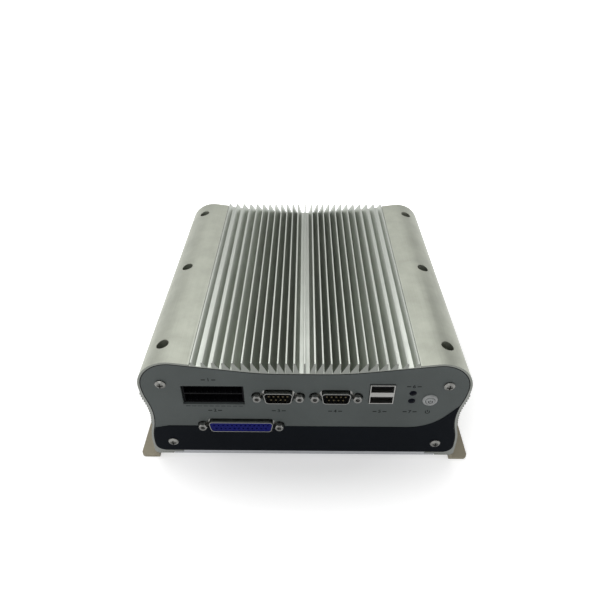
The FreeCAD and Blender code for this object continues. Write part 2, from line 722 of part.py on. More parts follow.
class Port:
    """One two-row port: where it sits, how wide it is, and which way it looks."""

    def __init__(self, name, x, z, width, screws, board_top, looks=-1):
        self.name = name
        self.x = x
        self.z = z
        self.width = width
        self.screws = screws
        self.board_top = board_top
        self.looks = looks
        self.plane = size("body_depth") / 2 - size("panel_thickness")

    def depth(self, outward):
        """Y of a plane that lies so far outward of the flange's face."""
        return self.looks * (self.plane + outward)

    def between(self, face, first, last):
        """Solid of the face between two outward distances."""
        low, high = sorted((self.depth(first), self.depth(last)))
        return slab(face, low, high)

    def face(self, grow=0.0):
        return d_face(self.x, self.z, self.width, size("port_shell_height"), grow)

    def jack_places(self):
        return [(self.x - self.screws, self.z), (self.x + self.screws, self.z)]


SHELL_SHEET = 0.6
shell_length = size("panel_thickness") + size("port_shell_reach")


def port_shell(port):
    """Flange behind the panel with the D-shaped collar that comes through it."""
    half = port.screws + size("port_flange_margin")
    high = size("port_flange_height") / 2
    plate = rectangle(port.x - half, port.x + half, port.z - high, port.z + high)
    flange = port.between(plate, 0, -SHELL_SHEET)
    collar = port.between(port.face(), 0, shell_length)
    shell = flange.fuse(collar)
    shell = shell.cut(port.between(port.face(-size("port_shell_wall")), -SHELL_SHEET - 1, shell_length + 1))
    for x, z in port.jack_places():
        shank = size("panel_screw_shank") + 2 * size("thread_gap")
        shell = shell.cut(port.between(disc(x, z, shank), -SHELL_SHEET - 1, 1))
    return shell.removeSplitter()


def port_block(port, face_outward):
    """Insulator: a plug inside the collar and a block that stands on the board."""
    inner = port.face(-size("port_shell_wall") - size("thread_gap"))
    plug = port.between(inner, -SHELL_SHEET - 1, face_outward)
    half = port.screws + size("port_flange_margin") - 0.5
    back = -SHELL_SHEET - size("port_body_depth")
    high = port.z + size("port_flange_height") / 2 - 0.5
    block = port.between(rectangle(port.x - half, port.x + half, port.board_top, high), -SHELL_SHEET, back)
    body = plug.fuse(block)
    for x, z in port.jack_places():
        hole = size("panel_screw_shank") + 2 * size("thread_gap")
        body = body.cut(port.between(disc(x, z, hole), back - 1, 1))
    return body.removeSplitter()


def make_plug_port(port, rows):
    """Port with standing pins."""
    face_outward = 0.4
    feature(f"{port.name}_shell", port_shell(port))
    block = port_block(port, face_outward)
    feature(f"{port.name}_insulator", block)
    tips = shell_length - 0.5
    pins = [port.between(disc(x, z, size("contact_size")), face_outward, tips)
            for x, z in contact_places(port.x, port.z, rows)]
    group(f"{port.name}_pins", pins)


def make_socket_port(port, rows):
    """Port whose insulator fills the collar and has a hole for each pin."""
    feature(f"{port.name}_shell", port_shell(port))
    face_outward = shell_length - 0.3
    block = port_block(port, face_outward)
    holes = [port.between(disc(x, z, size("contact_size") + 0.2), face_outward - 3, face_outward + 1)
             for x, z in contact_places(port.x, port.z, rows)]
    feature(f"{port.name}_insulator", block.cut(Part.makeCompound(holes)))


serial_left = Port("serial_port_left", size("serial_left_x"), size("port_axis"), size("nine_way_shell"),
                   size("nine_way_screws"), size("board_top"))
serial_right = Port("serial_port_right", size("serial_right_x"), size("port_axis"), size("nine_way_shell"),
                    size("nine_way_screws"), size("board_top"))
parallel = Port("parallel_port", size("parallel_x"), size("parallel_axis"), size("wide_port_shell"),
                size("wide_port_screws"), size("port_board_top"))
video = Port("video_port", size("video_x"), size("port_axis"), size("nine_way_shell"),
             size("nine_way_screws"), size("board_top"), looks=1)
FRONT_PORTS = [serial_left, serial_right, parallel]


def jackscrew(port, x, z):
    """Hexagonal nut with a threaded mouth and a shank through the flange."""
    length = size("panel_thickness") + size("jack_reach")
    nut = hexagon(size("jack_flats")).extrude(V(0, 0, length))
    corner = size("jack_flats") / math.sqrt(3)
    slant = corner * 0.8
    trim = Part.makeCone(corner * 1.35, size("jack_flats") / 2 - 0.1, slant, V(0, 0, length - slant))
    lower = Part.makeCylinder(corner * 1.35, length - slant)
    nut = nut.common(trim.fuse(lower))
    nut = nut.cut(Part.makeCylinder(size("jack_bore") / 2, length - 1, V(0, 0, 1.0)))
    reach = SHELL_SHEET + 4
    nut = nut.fuse(Part.makeCylinder(size("panel_screw_shank") / 2, reach, V(0, 0, -reach)))
    nut.rotate(V(0, 0, 0), V(1, 0, 0), 90 if port.looks < 0 else -90)
    nut.translate(V(x, port.depth(0), z))
    return nut.removeSplitter()


# ---------------------------------------------------------------- panels and the black film

def cut_round(port):
    """D-shaped opening of a panel round a port's collar."""
    return port.face(size("port_cut_margin")).OuterWire


terminal_half = size("terminal_width") / 2
usb_half = size("usb_width") / 2
lights = [(size("light_x"), size("light_high")), (size("light_x"), size("light_low"))]
panel_screws = [(s * size("panel_screw_x"), size(z))
                for s in (-1, 1) for z in ("panel_screw_high", "panel_screw_low")]
screw_hole = size("panel_screw_shank") + 0.4


def socket_window(x, half, height, lift=0.0):
    """Rectangular opening round a mouth that lies so far above the main board."""
    gap = size("fit_gap")
    low = size("board_top") + lift
    return rectangle(x - half - gap, x + half + gap, low - gap, low + height + gap).OuterWire


def make_front_panel():
    body = body_of("front_panel")
    pad(body, "front_plate", sketch_on(body, "XZ_Plane", "front_outline", [outline.OuterWire], FRONT),
        "sizes.panel_thickness", reverse=True)
    windows = [cut_round(p) for p in FRONT_PORTS]
    windows.append(socket_window(size("terminal_x"), terminal_half, size("terminal_height")))
    windows.append(socket_window(size("usb_front_x"), usb_half, size("usb_height"), size("usb_lift")))
    pocket(body, "port_windows", sketch_on(body, "XZ_Plane", "window_sketch", windows, FRONT),
           "sizes.panel_thickness")
    jacks = circles_on_xz([place for p in FRONT_PORTS for place in p.jack_places()], size("jack_hole"))
    pocket(body, "jack_windows", sketch_on(body, "XZ_Plane", "jack_sketch", jacks, FRONT),
           "sizes.panel_thickness")
    gap = 2 * size("thread_gap")
    small = circles_on_xz(lights, size("light_diameter") + gap)
    small += circles_on_xz([(size("button_x"), size("button_height"))], size("bezel_neck") + gap)
    small += circles_on_xz(panel_screws, screw_hole)
    pocket(body, "round_holes", sketch_on(body, "XZ_Plane", "round_sketch", small, FRONT),
           "sizes.panel_thickness")


def film_face():
    """Lower part of the panel: its top edge dips on the left and sweeps up along a slope on the right."""
    band = size("band_height")
    dip_start = (-size("band_dip_start"), band)
    dip_end = (-size("panel_half_width"), band - size("band_left_drop"))
    centre = (size("band_wave_start"), band + size("band_wave_radius"))
    turn = size("band_wave_slope")
    wave_end = turned(centre, size("band_wave_radius"), turn - 90)
    run = FAR - wave_end[0]
    sweep_end = (FAR, wave_end[1] + run * math.tan(math.radians(turn)))
    edges = [line((-FAR, 0), (FAR, 0)), line((FAR, 0), sweep_end), line(sweep_end, wave_end),
             round_arc(centre, size("band_wave_radius"), turn - 90, -90),
             line((centre[0], band), dip_start), line(dip_start, dip_end),
             line(dip_end, (-FAR, dip_end[1])), line((-FAR, dip_end[1]), (-FAR, 0))]
    return outline.makeOffset2D(-size("film_margin")).common(closed(edges))


def make_front_label():
    """Black film with clear openings round the port, the screws and their heads."""
    film = film_face()
    openings = [parallel.face(size("port_cut_margin"))]
    openings += [disc(x, z, size("jack_hole")) for x, z in parallel.jack_places()]
    openings += [disc(x, z, size("panel_screw_head") + 0.6) for x, z in panel_screws]
    for opening in openings:
        film = film.cut(opening)
    feature("front_label", slab(film, front_y - size("film_thickness"), front_y))


network_places = [size("network_x") - size("network_pitch") * k for k in range(2)]
first_audio = size("audio_edge") - size("panel_half_width")
audio_places = [first_audio - size("audio_pitch") * k for k in range(2)]
NETWORK_HEIGHT = 13.5
AUDIO_RING = 6.4
INLET_RING = 8.6


def make_rear_panel():
    body = body_of("rear_panel")
    pad(body, "rear_plate", sketch_on(body, "XZ_Plane", "rear_outline", [outline.OuterWire], REAR),
        "sizes.panel_thickness")
    windows = [cut_round(video),
               socket_window(size("usb_rear_x"), usb_half, size("usb_height"), size("usb_lift"))]
    windows += [socket_window(x, size("network_width") / 2, NETWORK_HEIGHT) for x in network_places]
    pocket(body, "rear_windows", sketch_on(body, "XZ_Plane", "rear_window_sketch", windows, REAR),
           "sizes.panel_thickness", reverse=True)
    holes = circles_on_xz(video.jack_places(), size("jack_hole"))
    pocket(body, "rear_jack_windows", sketch_on(body, "XZ_Plane", "rear_jack_sketch", holes, REAR),
           "sizes.panel_thickness", reverse=True)
    gap = 2 * size("thread_gap")
    small = circles_on_xz(panel_screws, screw_hole)
    small += circles_on_xz([(x, size("rear_axis")) for x in audio_places], AUDIO_RING + gap)
    small += circles_on_xz([(size("inlet_x"), size("rear_axis"))], INLET_RING + gap)
    pocket(body, "rear_round_holes", sketch_on(body, "XZ_Plane", "rear_round_sketch", small, REAR),
           "sizes.panel_thickness", reverse=True)


# ---------------------------------------------------------------- other ports and the power button

def make_terminal_header():
    """Black housing with two long cavities, one above the other; guides and a row of pins in each."""
    x = size("terminal_x")
    low = size("board_top")
    high = low + size("terminal_height")
    wall = size("terminal_wall")
    mouth = front_y + size("terminal_setback")
    floor = mouth + size("terminal_recess")
    housing = box(x - terminal_half, x + terminal_half, mouth, mouth + size("terminal_depth"), low, high)
    level = (size("terminal_height") - 3 * wall) / 2
    reach = terminal_half - wall
    half = size("contact_size") / 2
    guide_half = size("terminal_guide_width") / 2
    ways = int(size("terminal_ways"))
    pins = []
    guides = []
    for storey in range(2):
        bottom = low + wall + storey * (level + wall)
        housing = housing.cut(box(x - reach, x + reach, mouth - 1, floor, bottom, bottom + level))
        pin_z = bottom + level / 2
        for k in range(ways):
            pin_x = x + size("terminal_pitch") * (k - (ways - 1) / 2)
            pins.append(box(pin_x - half, pin_x + half, floor - 4.5, floor, pin_z - half, pin_z + half))
        for k in range(1, ways):
            guide_x = x + size("terminal_pitch") * (k - ways / 2)
            guides.append(box(guide_x - guide_half, guide_x + guide_half, mouth + 0.5, floor + 0.5,
                              bottom - 0.3, bottom + size("terminal_guide")))
    housing = housing.multiFuse(guides)
    feature("terminal_header", housing.removeSplitter())
    group("terminal_pins", pins)


def make_usb_socket(suffix, x, looks):
    """Two-storey socket: a folded shell with two mouths and a contact tongue in each, on a foot."""
    reach = size("body_depth") / 2 + size("usb_reach")
    low = size("board_top") + size("usb_lift")
    wall = size("usb_wall")
    mouth = size("usb_mouth")
    back = reach - size("usb_depth")
    foot_front = panel_back + size("fit_gap")
    shell = box(x - usb_half, x + usb_half, -reach, -back, low, low + size("usb_height"))
    shell = shell.fuse(box(x - usb_half, x + usb_half, foot_front, -back, size("board_top"), low))
    bottoms = [low + wall, low + size("usb_height") - wall - mouth]
    inner = usb_half - wall
    tongues = []
    for bottom in bottoms:
        shell = shell.cut(box(x - inner, x + inner, -reach - 1, -back - 1.5, bottom, bottom + mouth))
        tongue_low = bottom + mouth / 2 + 0.3
        tongues.append(box(x - 5.6, x + 5.6, -reach + 1.2, -back - 1.5, tongue_low, tongue_low + 1.9))
    shell = shell.removeSplitter()
    if looks > 0:
        shell = shell.mirror(V(0, 0, 0), V(0, 1, 0))
        tongues = [t.mirror(V(0, 0, 0), V(0, 1, 0)) for t in tongues]
    feature(f"usb_shell_{suffix}", shell)
    group(f"usb_tongues_{suffix}", tongues)


def make_indicator_lights():
    """Two domed lenses on a black holder that stands on the main board."""
    x = size("light_x")
    radius = size("light_diameter") / 2
    seat = panel_back + size("fit_gap")
    holder_top = size("light_high") + radius + 0.5
    dome = 0.6
    for name, (light_x, z) in zip(("indicator_upper", "indicator_lower"), lights):
        stem = rod(light_x, z, size("light_diameter"), front_y, seat)
        ball_radius = (radius ** 2 + dome ** 2) / (2 * dome)
        ball = Part.makeSphere(ball_radius, V(light_x, front_y + ball_radius - dome, z))
        cap = ball.common(rod(light_x, z, size("light_diameter"), front_y - dome - 1, front_y))
        feature(name, stem.fuse(cap).removeSplitter())
    holder = box(x - radius - 0.5, x + radius + 0.5, seat, seat + 5, size("board_top"), holder_top)
    feature("indicator_holder", holder)


def ring_profile(points):
    """Solid of revolution about the Y axis from (radius, y) points."""
    corners = [V(radius, y, 0) for radius, y in points]
    face = Part.Face(Part.makePolygon(corners + corners[:1]))
    return face.revolve(V(0, 0, 0), V(0, 1, 0), 360)


def make_power_button():
    """Bezel, sliding cap with its stem, and the switch body behind the panel."""
    place = V(size("button_x"), front_y, size("button_height"))
    bore = size("cap_diameter") / 2 + size("cap_gap")
    edge = size("bezel_diameter") / 2
    reach = size("bezel_reach")
    neck = size("bezel_neck") / 2
    neck_end = size("panel_thickness") + 4
    bezel = ring_profile([(bore, -reach), (edge - 0.6, -reach), (edge, -reach + 0.6), (edge, 0), (neck, 0),
                          (neck, neck_end), (bore, neck_end)])
    feature("power_button_bezel", bezel, place)
    radius = size("cap_diameter") / 2
    front = -size("cap_reach")
    cap_back = neck_end - 2 * size("button_travel")
    stem = 1.4
    stem_end = neck_end + 3
    cap = ring_profile([(0, front + 0.35), (0.7, front + 0.35), (1.2, front), (radius - 0.5, front),
                        (radius, front + 0.5), (radius, cap_back), (stem, cap_back), (stem, stem_end),
                        (0, stem_end)])
    feature("power_button_cap", cap, place)
    half = size("bezel_diameter") / 2
    x = size("button_x")
    z = size("button_height")
    body_front = front_y + neck_end
    switch = box(x - half, x + half, body_front, body_front + 9, z - half, z + half)
    switch = switch.cut(rod(x, z, 2 * stem + 2 * size("cap_gap"), body_front - 1,
                            front_y + stem_end + size("button_travel") + 0.4))
    feature("power_switch_body", switch)


def make_network_jacks():
    """Shielded jacks with an open mouth."""
    low = size("board_top")
    reach = rear_y + size("usb_reach")
    half = size("network_width") / 2
    for number, x in enumerate(network_places, start=1):
        jack = box(x - half, x + half, reach - 21, reach, low, low + NETWORK_HEIGHT)
        jack = jack.cut(box(x - 5.9, x + 5.9, reach - 12, reach + 1, low + 3.4, low + 11.4))
        latch = box(x - 3, x + 3, reach - 12, reach + 1, low + 1.6, low + 3.5)
        feature(f"network_jack_{number}", jack.cut(latch))


def make_audio_jacks():
    """Two round jacks with a threaded collar through the panel."""
    jacks = []
    z = size("rear_axis")
    inside = rear_y - size("panel_thickness")
    for x in audio_places:
        block = box(x - 4.5, x + 4.5, rear_y - 15, inside, size("board_top"), z + 5)
        collar = rod(x, z, AUDIO_RING, inside, rear_y + size("usb_reach"))
        bore = rod(x, z, 3.6, rear_y - 12, rear_y + size("usb_reach") + 1)
        jacks.append(block.fuse(collar).cut(bore).removeSplitter())
    group("audio_jacks", jacks)


def make_power_inlet():
    """Round inlet with a standing centre pin."""
    x = size("inlet_x")
    z = size("rear_axis")
    inside = rear_y - size("panel_thickness")
    block = box(x - 7, x + 7, inside - 12, inside, size("board_top"), z + 6)
    collar = rod(x, z, INLET_RING, inside, rear_y + size("usb_reach"))
    bore = rod(x, z, 6.4, inside - 8, rear_y + size("usb_reach") + 1)
    pin = rod(x, z, 2.1, inside - 8, rear_y)
    feature("power_inlet", block.fuse(collar).cut(bore).fuse(pin).removeSplitter())


# ---------------------------------------------------------------- inside the case

def make_boards():
    margin = "sizes.panel_thickness + sizes.fit_gap"
    bound_box("main_board", "sizes.board_right - sizes.board_left", f"sizes.body_depth - 2 * ({margin})",
              "sizes.board_thickness",
              ("sizes.board_left", f"{REAR} + {margin}", "sizes.board_top - sizes.board_thickness"))
    bound_box("port_board", "sizes.port_board_right - sizes.port_board_left", "sizes.port_board_depth",
              "sizes.board_thickness",
              ("sizes.port_board_left", f"{REAR} + {margin}", "sizes.port_board_top - sizes.board_thickness"))


def standoff(x, y, low, high):
    """Hexagonal pillar."""
    pillar = hexagon(size("standoff_flats")).extrude(V(0, 0, high - low))
    pillar.translate(V(x, y, low))
    return pillar


floor_z = size("foot_rise") + size("tray_thickness")
main_posts = [(size(a), s * size("standoff_y"))
              for a in ("standoff_x_left", "standoff_x_right") for s in (-1, 1)]
port_posts = [(x, front_y + y)
              for x in (size("port_board_left") + 5, size("port_board_right") - 5)
              for y in (22, size("port_board_depth") - 4)]


def board_screw(x, y, seat):
    """Low round head on a board; its thread lies inside the standoff and isn't modelled."""
    return post(x, y, size("low_head"), seat, seat + size("low_head_height"))


def make_standoffs():
    group("main_board_standoffs",
          [standoff(x, y, floor_z, size("board_top") - size("board_thickness")) for x, y in main_posts])
    group("port_board_standoffs",
          [standoff(x, y, floor_z, size("port_board_top") - size("board_thickness")) for x, y in port_posts])
    screws = [board_screw(x, y, size("board_top")) for x, y in main_posts]
    screws += [board_screw(x, y, size("port_board_top")) for x, y in port_posts]
    group("board_screws", screws)


def make_processor():
    """Package on the board and the block that carries its heat up to the roof."""
    package_top = "sizes.board_top + sizes.processor_height"
    for label, alias, height, low in (
            ("processor", "processor_size", "sizes.processor_height", "sizes.board_top"),
            ("heat_spreader", "spreader_size", f"sizes.cold_pad_height - ({package_top})", package_top)):
        bound_box(label, f"sizes.{alias}", f"sizes.{alias}", height,
                  (f"-sizes.{alias} / 2", f"sizes.processor_y - sizes.{alias} / 2", low))


def make_memory():
    """Socket with its module lying flat above the board."""
    low = size("board_top")
    x = size("memory_x")
    y = size("processor_y")
    half = size("memory_length") / 2
    edge = half - 1.2
    socket = box(x - 5, x + 2, y - half, y + half, low, low + 5.2)
    socket = socket.cut(box(x, x + 3, y - edge - 0.1, y + edge + 0.1, low + 2.9, low + 4.1))
    feature("memory_socket", socket)
    feature("memory_module", box(x, x + size("memory_reach"), y - edge, y + edge, low + 3.0, low + 4.0))


def make_coin_cell():
    """Coin cell in an open ring holder."""
    low = size("board_top")
    x = size("coin_x")
    y = size("coin_y")
    cell = size("coin_diameter")
    holder = post(x, y, cell + 4, low, low + 4.5).cut(post(x, y, cell + 0.4, low + 1, low + 6))
    feature("coin_cell_holder", holder)
    feature("coin_cell", post(x, y, cell, low + 1, low + 4.2))


def make_drive():
    """Flat drive on a carrier sheet with turned-up sides, screwed to the tray."""
    left = size("drive_x") - size("drive_width") / 2
    right = left + size("drive_width")
    front = size("drive_y") - size("drive_length") / 2
    back = front + size("drive_length")
    sheet_t = size("carrier_sheet")
    gap = size("fit_gap")
    seat = floor_z + sheet_t
    carrier = box(left - sheet_t - gap, right + sheet_t + gap, front, back, floor_z, seat)
    for side_left in (left - sheet_t - gap, right + gap):
        side = box(side_left, side_left + sheet_t, front, back, floor_z, floor_z + size("carrier_side"))
        carrier = carrier.fuse(side)
    feature("drive_carrier", carrier.removeSplitter())
    feature("storage_drive", box(left, right, front, back, seat, seat + size("drive_height")))


def make_capacitors():
    """Row of filter capacitors near the power inlet."""
    low = size("board_top")
    high = low + size("capacitor_height")
    y = rear_y - size("capacitor_inset")
    places = [size("capacitor_x") + size("capacitor_pitch") * k for k in range(3)]
    group("filter_capacitors", [post(x, y, size("capacitor_diameter"), low, high) for x in places])


# ---------------------------------------------------------------- screws

def cross_screw(x, z, looks):
    """Domed head with a cross recess; the shank runs into the case."""
    radius = size("panel_screw_head") / 2
    edge, dome = 0.7, 1.0
    shank = size("panel_screw_shank") / 2
    length = size("panel_thickness") + size("panel_screw_length")
    outline_edges = [
        Part.makeLine(V(0, -edge - dome, 0), V(0, length, 0)),
        Part.makeLine(V(0, length, 0), V(shank, length, 0)),
        Part.makeLine(V(shank, length, 0), V(shank, 0, 0)),
        Part.makeLine(V(shank, 0, 0), V(radius, 0, 0)),
        Part.makeLine(V(radius, 0, 0), V(radius, -edge, 0)),
        Part.Arc(V(radius, -edge, 0), V(radius * 0.6, -edge - dome * 0.78, 0),
                 V(0, -edge - dome, 0)).toShape()]
    screw = closed(outline_edges).revolve(V(0, 0, 0), V(0, 1, 0), 360)
    arm, width = 1.8, 0.4
    for half_x, half_z in ((arm, width), (width, arm)):
        screw = screw.cut(box(-half_x, half_x, -edge - dome - 1, -edge + 0.1, -half_z, half_z))
    if looks > 0:
        screw.rotate(V(0, 0, 0), V(0, 0, 1), 180)
    screw.translate(V(x, looks * rear_y, z))
    return screw


def socket_screw(x, y):
    """Cylinder head with a hexagonal recess, down in its counterbore."""
    seat = size("roof_screw_seat")
    head_height = size("roof_screw_shank")
    screw = post(x, y, size("roof_screw_head"), seat, seat + head_height)
    key = hexagon(3.0).extrude(V(0, 0, 2.5))
    key.translate(V(x, y, seat + head_height - 2))
    low = size("seam_height") - size("roof_screw_reach")
    return screw.cut(key).fuse(post(x, y, size("roof_screw_shank"), low, seat)).removeSplitter()


def low_screw(x, y, seat, grip):
    """Flat-headed screw from below: head under the seat, shank up into the foot."""
    head = post(x, y, size("low_head"), seat - size("low_head_height"), seat)
    top = seat + grip + size("low_screw_reach")
    return head.fuse(post(x, y, size("panel_screw_shank"), seat, top)).removeSplitter()


def make_screws():
    group("panel_screws", [cross_screw(x, z, looks) for looks in (-1, 1) for x, z in panel_screws])
    group("heatsink_screws", [socket_screw(x, y) for s in (-1, 1) for x, y in roof_screw_places(s)])
    group("tray_screws", [low_screw(s * x, y, size("foot_rise"), size("tray_thickness"))
                          for x, y in tray_screws for s in (-1, 1)])
    under_leaf = size("foot_rise") - size("bracket_sheet")
    group("bracket_screws", [low_screw(s * x, y, under_leaf, size("bracket_sheet"))
                             for x, y in bracket_screws for s in (-1, 1)])
    group("jackscrews", [jackscrew(p, x, z) for p in FRONT_PORTS + [video] for x, z in p.jack_places()])


# ---------------------------------------------------------------- build, check and write

make_top_heatsink()
make_side_wall("side_wall_left", -1)
make_side_wall("side_wall_right", 1)
make_bottom_tray()
make_bracket("mounting_bracket_left", -1)
make_bracket("mounting_bracket_right", 1)
make_front_panel()
make_front_label()
make_rear_panel()
make_plug_port(serial_left, (5, 4))
make_plug_port(serial_right, (5, 4))
make_socket_port(parallel, (13, 12))
make_socket_port(video, (5, 5, 5))
make_terminal_header()
make_usb_socket("front", size("usb_front_x"), -1)
make_usb_socket("rear", size("usb_rear_x"), 1)
make_indicator_lights()
make_power_button()
make_network_jacks()
make_audio_jacks()
make_power_inlet()
make_boards()
make_standoffs()
make_processor()
make_memory()
make_coin_cell()
make_drive()
make_capacitors()
make_screws()

doc.recompute()
for item in doc.Objects:
    if "Invalid" in item.State or "Error" in item.State:
        raise RuntimeError(f"{item.Name} failed: {item.State}")
os.makedirs("parts", exist_ok=True)
for item in parts:
    shape = item.Shape
    if shape.isNull() or not shape.isValid():
        raise RuntimeError(f"{item.Label} has no valid shape")
    shape.exportStep(f"parts/{item.Label}.step")
    print(f"{item.Label}: {len(shape.Solids)} solid(s), {shape.Volume:.0f} mm3")
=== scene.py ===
"""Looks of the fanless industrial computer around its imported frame: finishes, printed marks, seams, contacts,
light, floor and camera. Lengths are in metres, in the frame's own axes: +X right, +Y to the rear, +Z up."""

import json
import math

import bpy
import mathutils
import numpy as np
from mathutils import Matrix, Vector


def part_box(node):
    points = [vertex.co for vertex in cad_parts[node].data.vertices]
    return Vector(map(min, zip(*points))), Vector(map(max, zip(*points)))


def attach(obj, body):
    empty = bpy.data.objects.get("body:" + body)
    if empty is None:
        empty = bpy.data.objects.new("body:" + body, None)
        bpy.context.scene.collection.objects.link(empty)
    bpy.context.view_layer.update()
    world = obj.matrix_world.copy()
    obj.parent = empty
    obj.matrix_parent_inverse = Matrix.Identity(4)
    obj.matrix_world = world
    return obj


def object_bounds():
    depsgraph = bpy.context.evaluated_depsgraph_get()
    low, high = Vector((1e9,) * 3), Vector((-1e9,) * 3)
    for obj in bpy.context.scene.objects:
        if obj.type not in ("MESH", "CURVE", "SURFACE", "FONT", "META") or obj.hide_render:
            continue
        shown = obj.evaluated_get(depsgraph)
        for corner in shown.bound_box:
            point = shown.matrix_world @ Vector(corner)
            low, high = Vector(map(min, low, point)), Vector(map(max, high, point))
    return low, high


MM = 0.001

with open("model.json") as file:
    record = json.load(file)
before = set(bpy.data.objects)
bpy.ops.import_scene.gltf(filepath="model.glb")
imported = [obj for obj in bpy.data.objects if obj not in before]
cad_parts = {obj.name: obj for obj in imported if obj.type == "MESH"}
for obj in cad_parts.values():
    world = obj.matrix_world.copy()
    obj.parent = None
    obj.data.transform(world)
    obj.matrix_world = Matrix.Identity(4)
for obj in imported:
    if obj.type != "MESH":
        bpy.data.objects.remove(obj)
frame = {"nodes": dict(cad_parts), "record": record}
box_of_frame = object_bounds()
nodes = frame["nodes"]
PANEL_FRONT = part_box("front_panel")[0][1]


# ---------------------------------------------------------------- meshes


def grid_mesh(points, close_u=False, close_v=False):
    """Surface from a grid of points, rows along u and columns along v.
    Face (i, j) joins the points (i, j), (i+1, j), (i+1, j+1) and (i, j+1); a closed way wraps round."""
    rows, columns = points.shape[:2]
    steps_u = rows if close_u else rows - 1
    steps_v = columns if close_v else columns - 1
    i, j = np.meshgrid(np.arange(steps_u), np.arange(steps_v), indexing="ij")
    next_i = (i + 1) % rows
    next_j = (j + 1) % columns
    faces = np.stack(
        [i * columns + j, next_i * columns + j, next_i * columns + next_j, i * columns + next_j], axis=-1
    )
    return points.reshape(-1, 3), faces.reshape(-1, 4)


def piece(name, parts, material, body="case", smooth=True):
    """One object from several (points, faces) parts, riding on a body and finished as a material slot."""
    vertices = []
    faces = []
    offset = 0
    for points, quads in parts:
        vertices.append(points)
        faces.append(quads + offset)
        offset += len(points)
    vertices = np.concatenate(vertices)
    faces = np.concatenate(faces)
    mesh = bpy.data.meshes.new(name)
    mesh.from_pydata(vertices.tolist(), [], faces.tolist())
    mesh.polygons.foreach_set("use_smooth", np.full(len(mesh.polygons), smooth))
    mesh.materials.append(material)
    mesh.update()
    built = bpy.data.objects.new(name, mesh)
    bpy.context.scene.collection.objects.link(built)
    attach(built, body)
    return built


# ---------------------------------------------------------------- shared node groups


def new_group(name, inputs, outputs):
    """Empty shader group with the given sockets; returns the group, its input node and its output node."""
    group = bpy.data.node_groups.new(name, "ShaderNodeTree")
    for label, kind, default in inputs:
        socket = group.interface.new_socket(label, in_out="INPUT", socket_type=kind)
        if default is not None:
            socket.default_value = default
    for label, kind in outputs:
        group.interface.new_socket(label, in_out="OUTPUT", socket_type=kind)
    return group, group.nodes.new("NodeGroupInput"), group.nodes.new("NodeGroupOutput")


def math_node(tree, operation, first, second=None):
    """Math node fed by sockets or plain numbers; returns its value socket."""
    node = tree.nodes.new("ShaderNodeMath")
    node.operation = operation
    for slot, given in zip(node.inputs, (first, second)):
        if given is None:
            continue
        if isinstance(given, (int, float)):
            slot.default_value = given
        else:
            tree.links.new(given, slot)
    return node.outputs[0]


def noise_node(tree, vector, scale, detail, roughness=0.5):
    """Noise texture on a vector socket; scale may be a number or a socket. Returns its factor socket."""
    node = tree.nodes.new("ShaderNodeTexNoise")
    tree.links.new(vector, node.inputs["Vector"])
    if isinstance(scale, (int, float)):
        node.inputs["Scale"].default_value = scale
    else:
        tree.links.new(scale, node.inputs["Scale"])
    node.inputs["Detail"].default_value = detail
    node.inputs["Roughness"].default_value = roughness
    return node.outputs["Fac"]


def stretched(tree, vector, factors):
    """The vector with each of its three parts times a factor."""
    node = tree.nodes.new("ShaderNodeVectorMath")
    node.operation = "MULTIPLY"
    tree.links.new(vector, node.inputs[0])
    node.inputs[1].default_value = factors
    return node.outputs[0]


def mixed_colour(tree, factor, first, second):
    """Colour going from the first to the second as the factor goes from 0 to 1."""
    node = tree.nodes.new("ShaderNodeMix")
    node.data_type = "RGBA"
    tree.links.new(factor, node.inputs["Factor"])
    for slot, given in ((node.inputs["A"], first), (node.inputs["B"], second)):
        if isinstance(given, tuple):
            slot.default_value = given
        else:
            tree.links.new(given, slot)
    return node.outputs["Result"]


def spread(tree, value, low, high, to_low=0.0, to_high=1.0):
    """Value moved from the range low..high to the range to_low..to_high, held at its ends."""
    node = tree.nodes.new("ShaderNodeMapRange")
    tree.links.new(value, node.inputs["Value"])
    node.inputs["From Min"].default_value = low
    node.inputs["From Max"].default_value = high
    node.inputs["To Min"].default_value = to_low
    node.inputs["To Max"].default_value = to_high
    return node.outputs["Result"]


def make_die_lines():
    """Fine lines that a die draws along an extrusion: noise pulled out along Y, and broader bands of it."""
    group, given, result = new_group(
        "die_lines",
        [("Vector", "NodeSocketVector", None), ("Lines per Metre", "NodeSocketFloat", 1500.0)],
        [("Lines", "NodeSocketFloat"), ("Bands", "NodeSocketFloat")],
    )
    along = stretched(group, given.outputs["Vector"], (1.0, 0.012, 1.0))
    fine = noise_node(group, along, given.outputs["Lines per Metre"], 3.0)
    wide_scale = math_node(group, "MULTIPLY", given.outputs["Lines per Metre"], 0.12)
    broad = noise_node(group, along, wide_scale, 2.0)
    group.links.new(spread(group, fine, 0.3, 0.7), result.inputs["Lines"])
    group.links.new(spread(group, broad, 0.35, 0.65), result.inputs["Bands"])
    return group


def make_paint_grain():
    """Orange-peel grain of a sprayed or powder-coated sheet: small cells over a soft waviness."""
    group, given, result = new_group(
        "paint_grain",
        [("Vector", "NodeSocketVector", None), ("Grain per Metre", "NodeSocketFloat", 2200.0)],
        [("Height", "NodeSocketFloat"), ("Cloud", "NodeSocketFloat")],
    )
    cells = group.nodes.new("ShaderNodeTexVoronoi")
    cells.feature = "SMOOTH_F1"
    group.links.new(given.outputs["Vector"], cells.inputs["Vector"])
    group.links.new(given.outputs["Grain per Metre"], cells.inputs["Scale"])
    half = math_node(group, "MULTIPLY", given.outputs["Grain per Metre"], 0.3)
    wave = noise_node(group, given.outputs["Vector"], half, 2.0)
    total = math_node(group, "ADD", cells.outputs["Distance"], wave)
    cloud = noise_node(group, given.outputs["Vector"], 28.0, 3.0)
    group.links.new(total, result.inputs["Height"])
    group.links.new(spread(group, cloud, 0.35, 0.65), result.inputs["Cloud"])
    return group


